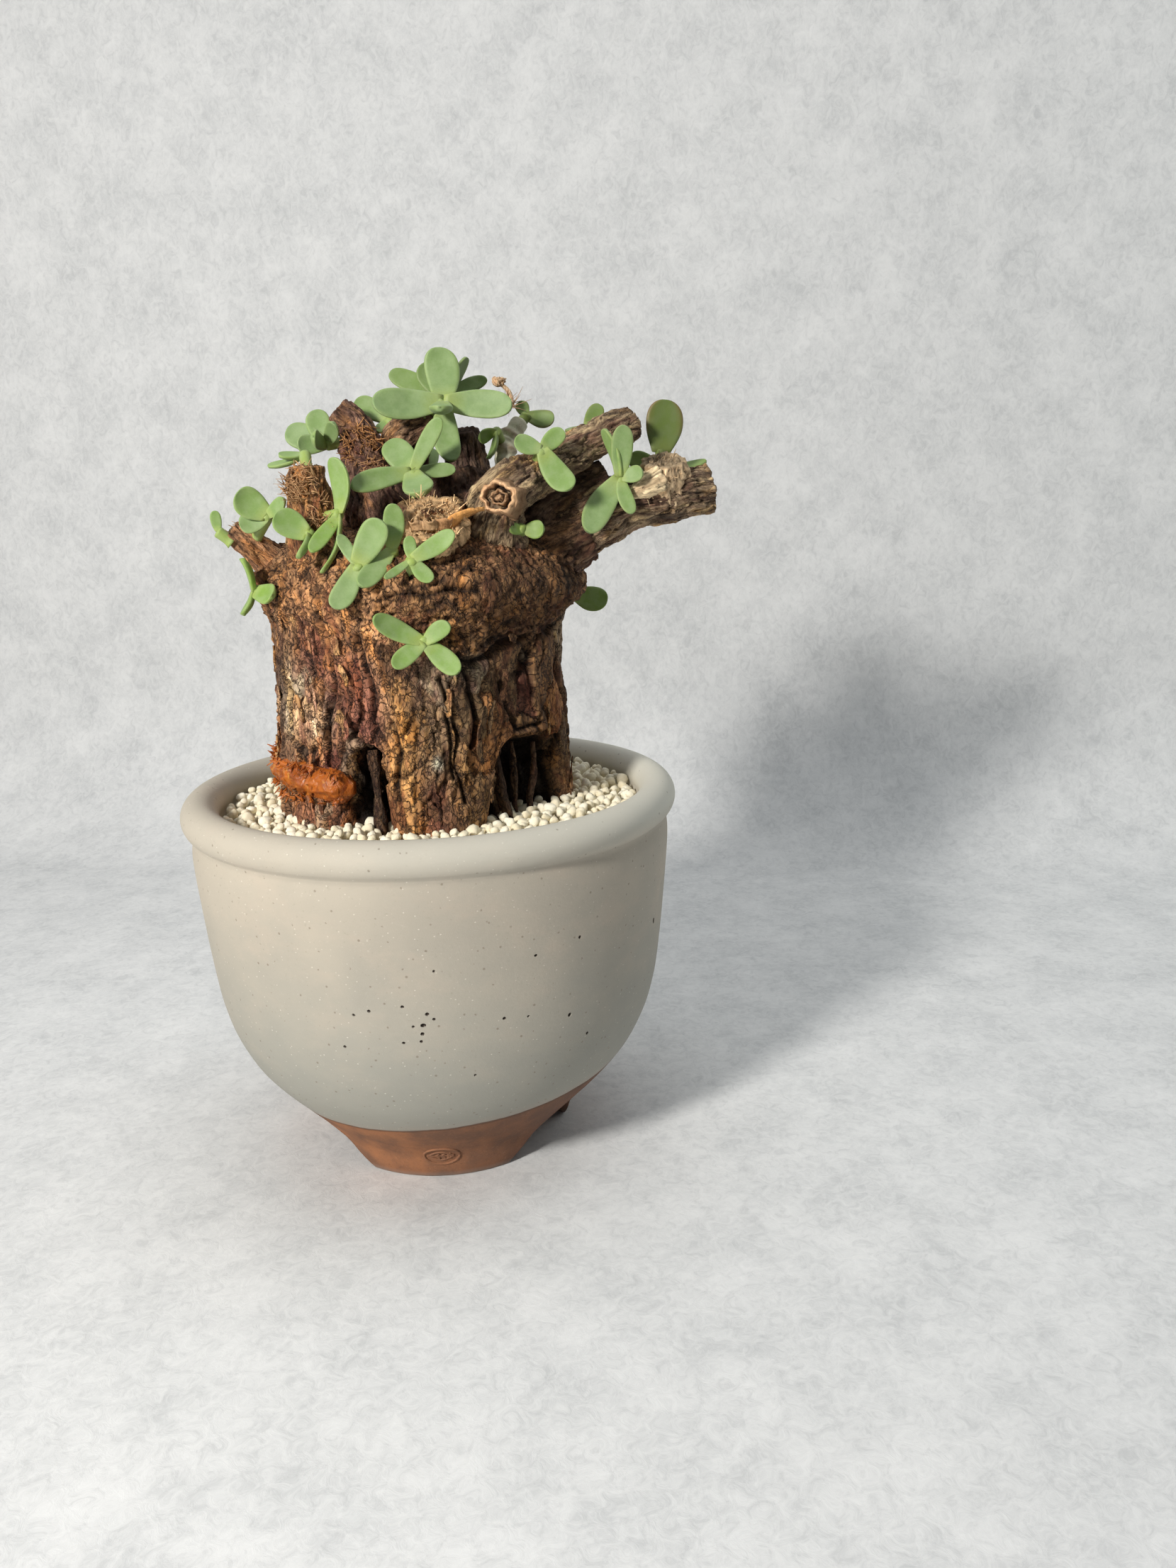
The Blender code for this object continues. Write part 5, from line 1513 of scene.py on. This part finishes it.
def make_shoots():
    """Each shoot's leaves, on a short stem that starts in the wood nearest to it."""
    finish = leaf_finish()
    trees = []
    for name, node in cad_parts.items():
        if name in BRANCHES or name in ("caudex", "young_stem"):
            mesh = node.data
            corners = [vertex.co for vertex in mesh.vertices]
            trees.append(BVHTree.FromPolygons(corners, [face.vertices for face in mesh.polygons]))
    for name, (node, leaves) in SHOOTS.items():
        batch = Batch()
        node = np.array(node, float)
        where = Vector(node * MM + AXIS)
        root = min((tree.find_nearest(where) for tree in trees), key=lambda hit: hit[3])[0]
        root = (np.array(root) - AXIS) / MM
        out = unit(node - root)
        age = AGED.get(name, 0.45)
        shade = OLIVE_AND_PAINTED_SHADE.get(name, 0.0)
        path = smooth_outline([root - out * 1.6, root + 0.55 * (node - root), node + out * 0.35], 6)
        widths = np.interp(np.linspace(0, 1, len(path)), (0, 0.2, 0.8, 0.93, 1),
                           (1.3, 1.0, 1.1, 0.95, 0.35)) * STEM_RADIUS
        points, faces = tube(path, widths, 14)
        batch.add(points, faces, along=0.12, age=min(1.0, age + 0.35), blush=0.0, edge=0.0, shade=shade)
        for tip, width, facing in leaves:
            reach = unit(np.array(tip, float) - node)
            points, faces, share, rim = leaf(node + reach * 0.15, tip, width, facing)
            blush = BLUSHED.get(name, 0.0) * rim * share
            own_age = np.clip(age + rng.normal() * 0.10, 0, 1)
            batch.add(points, faces, along=share, age=own_age, blush=blush, edge=rim, shade=shade)
        batch.piece(f"{name}_leaves", finish, "leaf", [name])


# ---- filling ----

BOWL_RADIUS = 44.6
LOWEST_GRAIN = 73.2                  # heights of a grain's middle
HIGHEST_GRAIN = 76.6
MOST_GRAINS = 2300
MOST_MISSES = 60                     # grains in a row that would stand above the brim
TRIES = 14                           # places tried for each grain, of which the lowest is taken
BED_LEVEL, BED_DEPTH = 73.4, 3.0


def pebble_shapes(kinds=9):
    """Rounded, slightly faceted grains about one unit in radius."""
    shapes = []
    for _ in range(kinds):
        bm = bmesh.new()
        bmesh.ops.create_icosphere(bm, subdivisions=2, radius=1.0)
        points = np.array([v.co for v in bm.verts])
        faces = [[v.index for v in f.verts] for f in bm.faces]
        bm.free()
        for _ in range(7):
            way = unit(rng.normal(size=3))
            over = np.maximum(points @ way - rng.uniform(0.55, 0.82), 0)
            points = points - 0.85 * over[:, None] * way
        points = points * (1 + 0.10 * noise(points * 1.9 + 31.0, int(rng.integers(900))))[:, None]
        shapes.append((points, faces))
    return shapes


def footprint(degrees):
    """How far the trunk reaches at the level of the gravel."""
    depth, _ = root_gap(np.array(float(degrees)), np.array(GRAVEL_LEVEL))
    return FOOT_RADIUS - float(depth)


def make_gravel():
    """Grains dropped one by one on each other and round the trunk, on a bed that closes the gaps."""
    shapes = pebble_shapes()
    finish = pumice_finish()
    spots = []
    heaps = np.zeros((0, 4))
    misses = 0
    while misses < MOST_MISSES and len(spots) < MOST_GRAINS:
        size = rng.uniform(0.85, 1.25) if rng.random() < 0.8 else rng.uniform(1.2, 1.5)
        best = None
        for _ in range(TRIES):
            degrees = rng.uniform(-180, 180)
            reach = math.sqrt(rng.uniform(19.0 ** 2, (BOWL_RADIUS - size) ** 2))
            spot = polar(reach, degrees, 0.0)
            from_trunk = spot - TRUNK_MIDDLE
            bearing = math.degrees(math.atan2(from_trunk[1], from_trunk[0]))
            if np.hypot(from_trunk[0], from_trunk[1]) < footprint(bearing) - 0.3 * size:
                continue
            level = LOWEST_GRAIN
            if len(heaps):
                flat = np.hypot(heaps[:, 0] - spot[0], heaps[:, 1] - spot[1])
                gap = 0.93 * (heaps[:, 3] + size)
                under = flat < gap
                if under.any():
                    rest = heaps[under, 2] + 0.86 * np.sqrt(gap[under] ** 2 - flat[under] ** 2)
                    level = max(level, rest.max())
            if best is None or level < best[2]:
                best = (spot[0], spot[1], level)
        if best is None:
            continue
        brim = HIGHEST_GRAIN + 0.5 * float(noise(np.array((best[0], best[1], 0.0)) / 14.0, 77))
        if best[2] > brim:
            misses += 1
            continue
        misses = 0
        spots.append((*best, size))
        heaps = np.array(spots)
    halves = {"pumice_front": Batch(), "pumice_back": Batch()}
    for x, y, z, size in spots:
        points, faces = shapes[int(rng.integers(len(shapes)))]
        turn = np.linalg.qr(rng.normal(size=(3, 3)))[0]
        if np.linalg.det(turn) < 0:
            turn[:, 0] *= -1
        grown = (points * rng.uniform(0.85, 1.18, 3)) @ turn.T * size + (x, y, z)
        halves["pumice_front" if y < 0 else "pumice_back"].add(grown, faces, tint=rng.random())
    halves["pumice_front"].piece("pumice_front", finish, "pumice", ["top_dressing"])
    halves["pumice_back"].piece("pumice_back", finish, "pumice", ["top_dressing"])

    rows, columns = 14, 180
    degrees = np.linspace(-180, 180, columns, endpoint=False)[None, :]
    reach = np.linspace(18, BOWL_RADIUS + 0.2, rows)[:, None]
    place = polar(reach, degrees, BED_LEVEL)
    place[..., 2] += 0.5 * fractal(place / 2.0, 91, 3)
    under = place - (0, 0, BED_DEPTH)
    ring = np.concatenate([place, under[::-1]], axis=0)
    bed = [face[::-1] for face in ring_faces(2 * rows, columns)]
    add_piece("pumice_bed", ring.reshape(-1, 3), bed, finish, ["top_dressing"],
              {"tint": np.full(ring.size // 3, 0.2)})


def dress_hidden_nodes():
    """The soil and the net over the drain hole keep their own shapes."""
    soil = plain_finish("dark_soil", (0.035, 0.022, 0.014), (0.13, 0.085, 0.05), 0.9, 0.95, 0.8)
    net = plain_finish("drain_net", (0.016, 0.016, 0.017), (0.03, 0.03, 0.031), 3.0, 0.45, 0.06)
    for name, finish in (("soil", soil), ("drain_mesh", net)):
        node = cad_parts[name]
        node.data.materials.clear()
        node.data.materials.append(finish)


# ---- stage, light and camera ----

EYE = (0.0, -256.8, 140.4)           # camera, millimetres about the pot's axis
YAW = math.radians(7.55)
PITCH = math.radians(13.73)
ROLL = math.radians(-1.49)
LENS = 27.67
BACKDROP_START = 175.0               # from the pot to where the paper starts to rise
BACKDROP_CURVE = 70.0
BACKDROP_TURN = math.radians(-15)
PAPER_HALF_WIDTH, PAPER_FRONT, PAPER_TOP = 1500.0, -900.0, 1500.0
DAYLIGHT, DAYLIGHT_STRENGTH = (0.86, 0.92, 1.0, 1.0), 0.09
LAMPS = (                            # name, place, what it points at, watts, metres across, colour
    ("key", (-362, -415, 345), (15, 0, 90), 4.1, 0.10, (1.0, 0.97, 0.92)),
    ("fill", (-300, -900, 900), (0, 0, 80), 0.25, 0.9, (0.95, 0.98, 1.0)),
    ("side", (430, 90, 260), (10, 0, 80), 0.42, 0.4, (0.92, 0.98, 0.96)),
    ("overhead", (100, 100, 900), (0, 0, 60), 3.2, 0.9, (0.94, 0.97, 1.0)),
)


def make_stage():
    """Paper laid on the table and swept up behind in one curve."""
    turn = np.radians(np.linspace(0, 90, 25))[1:]
    profile = [(PAPER_FRONT, 0.0), (BACKDROP_START, 0.0)]
    profile += [(BACKDROP_START + BACKDROP_CURVE * math.sin(a), BACKDROP_CURVE * (1 - math.cos(a)))
                for a in turn]
    profile.append((profile[-1][0], PAPER_TOP))
    cosine, sine = math.cos(BACKDROP_TURN), math.sin(BACKDROP_TURN)
    points = [(x * cosine - y * sine, x * sine + y * cosine, z)
              for y, z in profile for x in (-PAPER_HALF_WIDTH, PAPER_HALF_WIDTH)]
    faces = grid_faces(len(profile), 2, closed=False)
    mesh = bpy.data.meshes.new("paper_sweep")
    mesh.from_pydata((np.array(points) * MM + AXIS).tolist(), [], faces)
    mesh.polygons.foreach_set("use_smooth", [True] * len(mesh.polygons))
    mesh.materials.append(paper_finish("paper"))
    linked("paper_sweep", mesh)


def make_lights():
    """Soft daylight, with one small sun-like lamp from the left."""
    world = bpy.data.worlds.new("studio")
    bpy.context.scene.world = world
    world.use_nodes = True
    background = world.node_tree.nodes["Background"]
    background.inputs["Color"].default_value = DAYLIGHT
    background.inputs["Strength"].default_value = DAYLIGHT_STRENGTH
    for name, place, target, energy, size, colour in LAMPS:
        data = bpy.data.lights.new(name, "AREA")
        data.energy = energy
        data.shape = "DISK"
        data.size = size
        data.color = colour
        made = linked(name, data)
        made.location = np.array(place, float) * MM + AXIS
        way = Vector(target) * MM + Vector(AXIS) - made.location
        made.rotation_euler = way.to_track_quat("-Z", "Y").to_euler()


def make_camera():
    """The photograph's view, a little above the plant and looking down on it."""
    data = bpy.data.cameras.new("camera")
    data.lens = LENS
    data.sensor_width = 36.0
    data.sensor_fit = "AUTO"
    data.clip_start = 0.01
    camera = linked("camera", data)
    forward = Vector((math.sin(YAW) * math.cos(PITCH), math.cos(YAW) * math.cos(PITCH), -math.sin(PITCH)))
    right = Vector((math.cos(YAW), -math.sin(YAW), 0.0))
    above = right.cross(forward)
    across = right * math.cos(ROLL) + above * math.sin(ROLL)
    upward = above * math.cos(ROLL) - right * math.sin(ROLL)
    turn = Matrix((across, upward, -forward)).transposed()
    camera.matrix_world = Matrix.Translation(Vector(np.array(EYE) * MM + AXIS)) @ turn.to_4x4()
    bpy.context.scene.camera = camera
    bpy.context.scene.view_settings.view_transform = "Standard"


glaze = glaze_finish()
bark = bark_finish("old_bark", 0.45, 0.38, 0.90)
dry_bark = bark_finish("dry_bark", 0.15, 0.82, 0.4)
torn = cut_wood_finish()
make_pot(glaze)
make_seal(glaze)
make_trunk(bark)
make_branches(dry_bark, torn)
make_scars(torn)
make_socket(torn)
make_flakes(bark)
make_roots(bark)
make_fibres(torn)
make_curls(torn)
make_peel(peel_finish())
make_young_stem()
make_dried_flower()
make_shoots()
make_gravel()
dress_hidden_nodes()
make_stage()
make_lights()
make_camera()
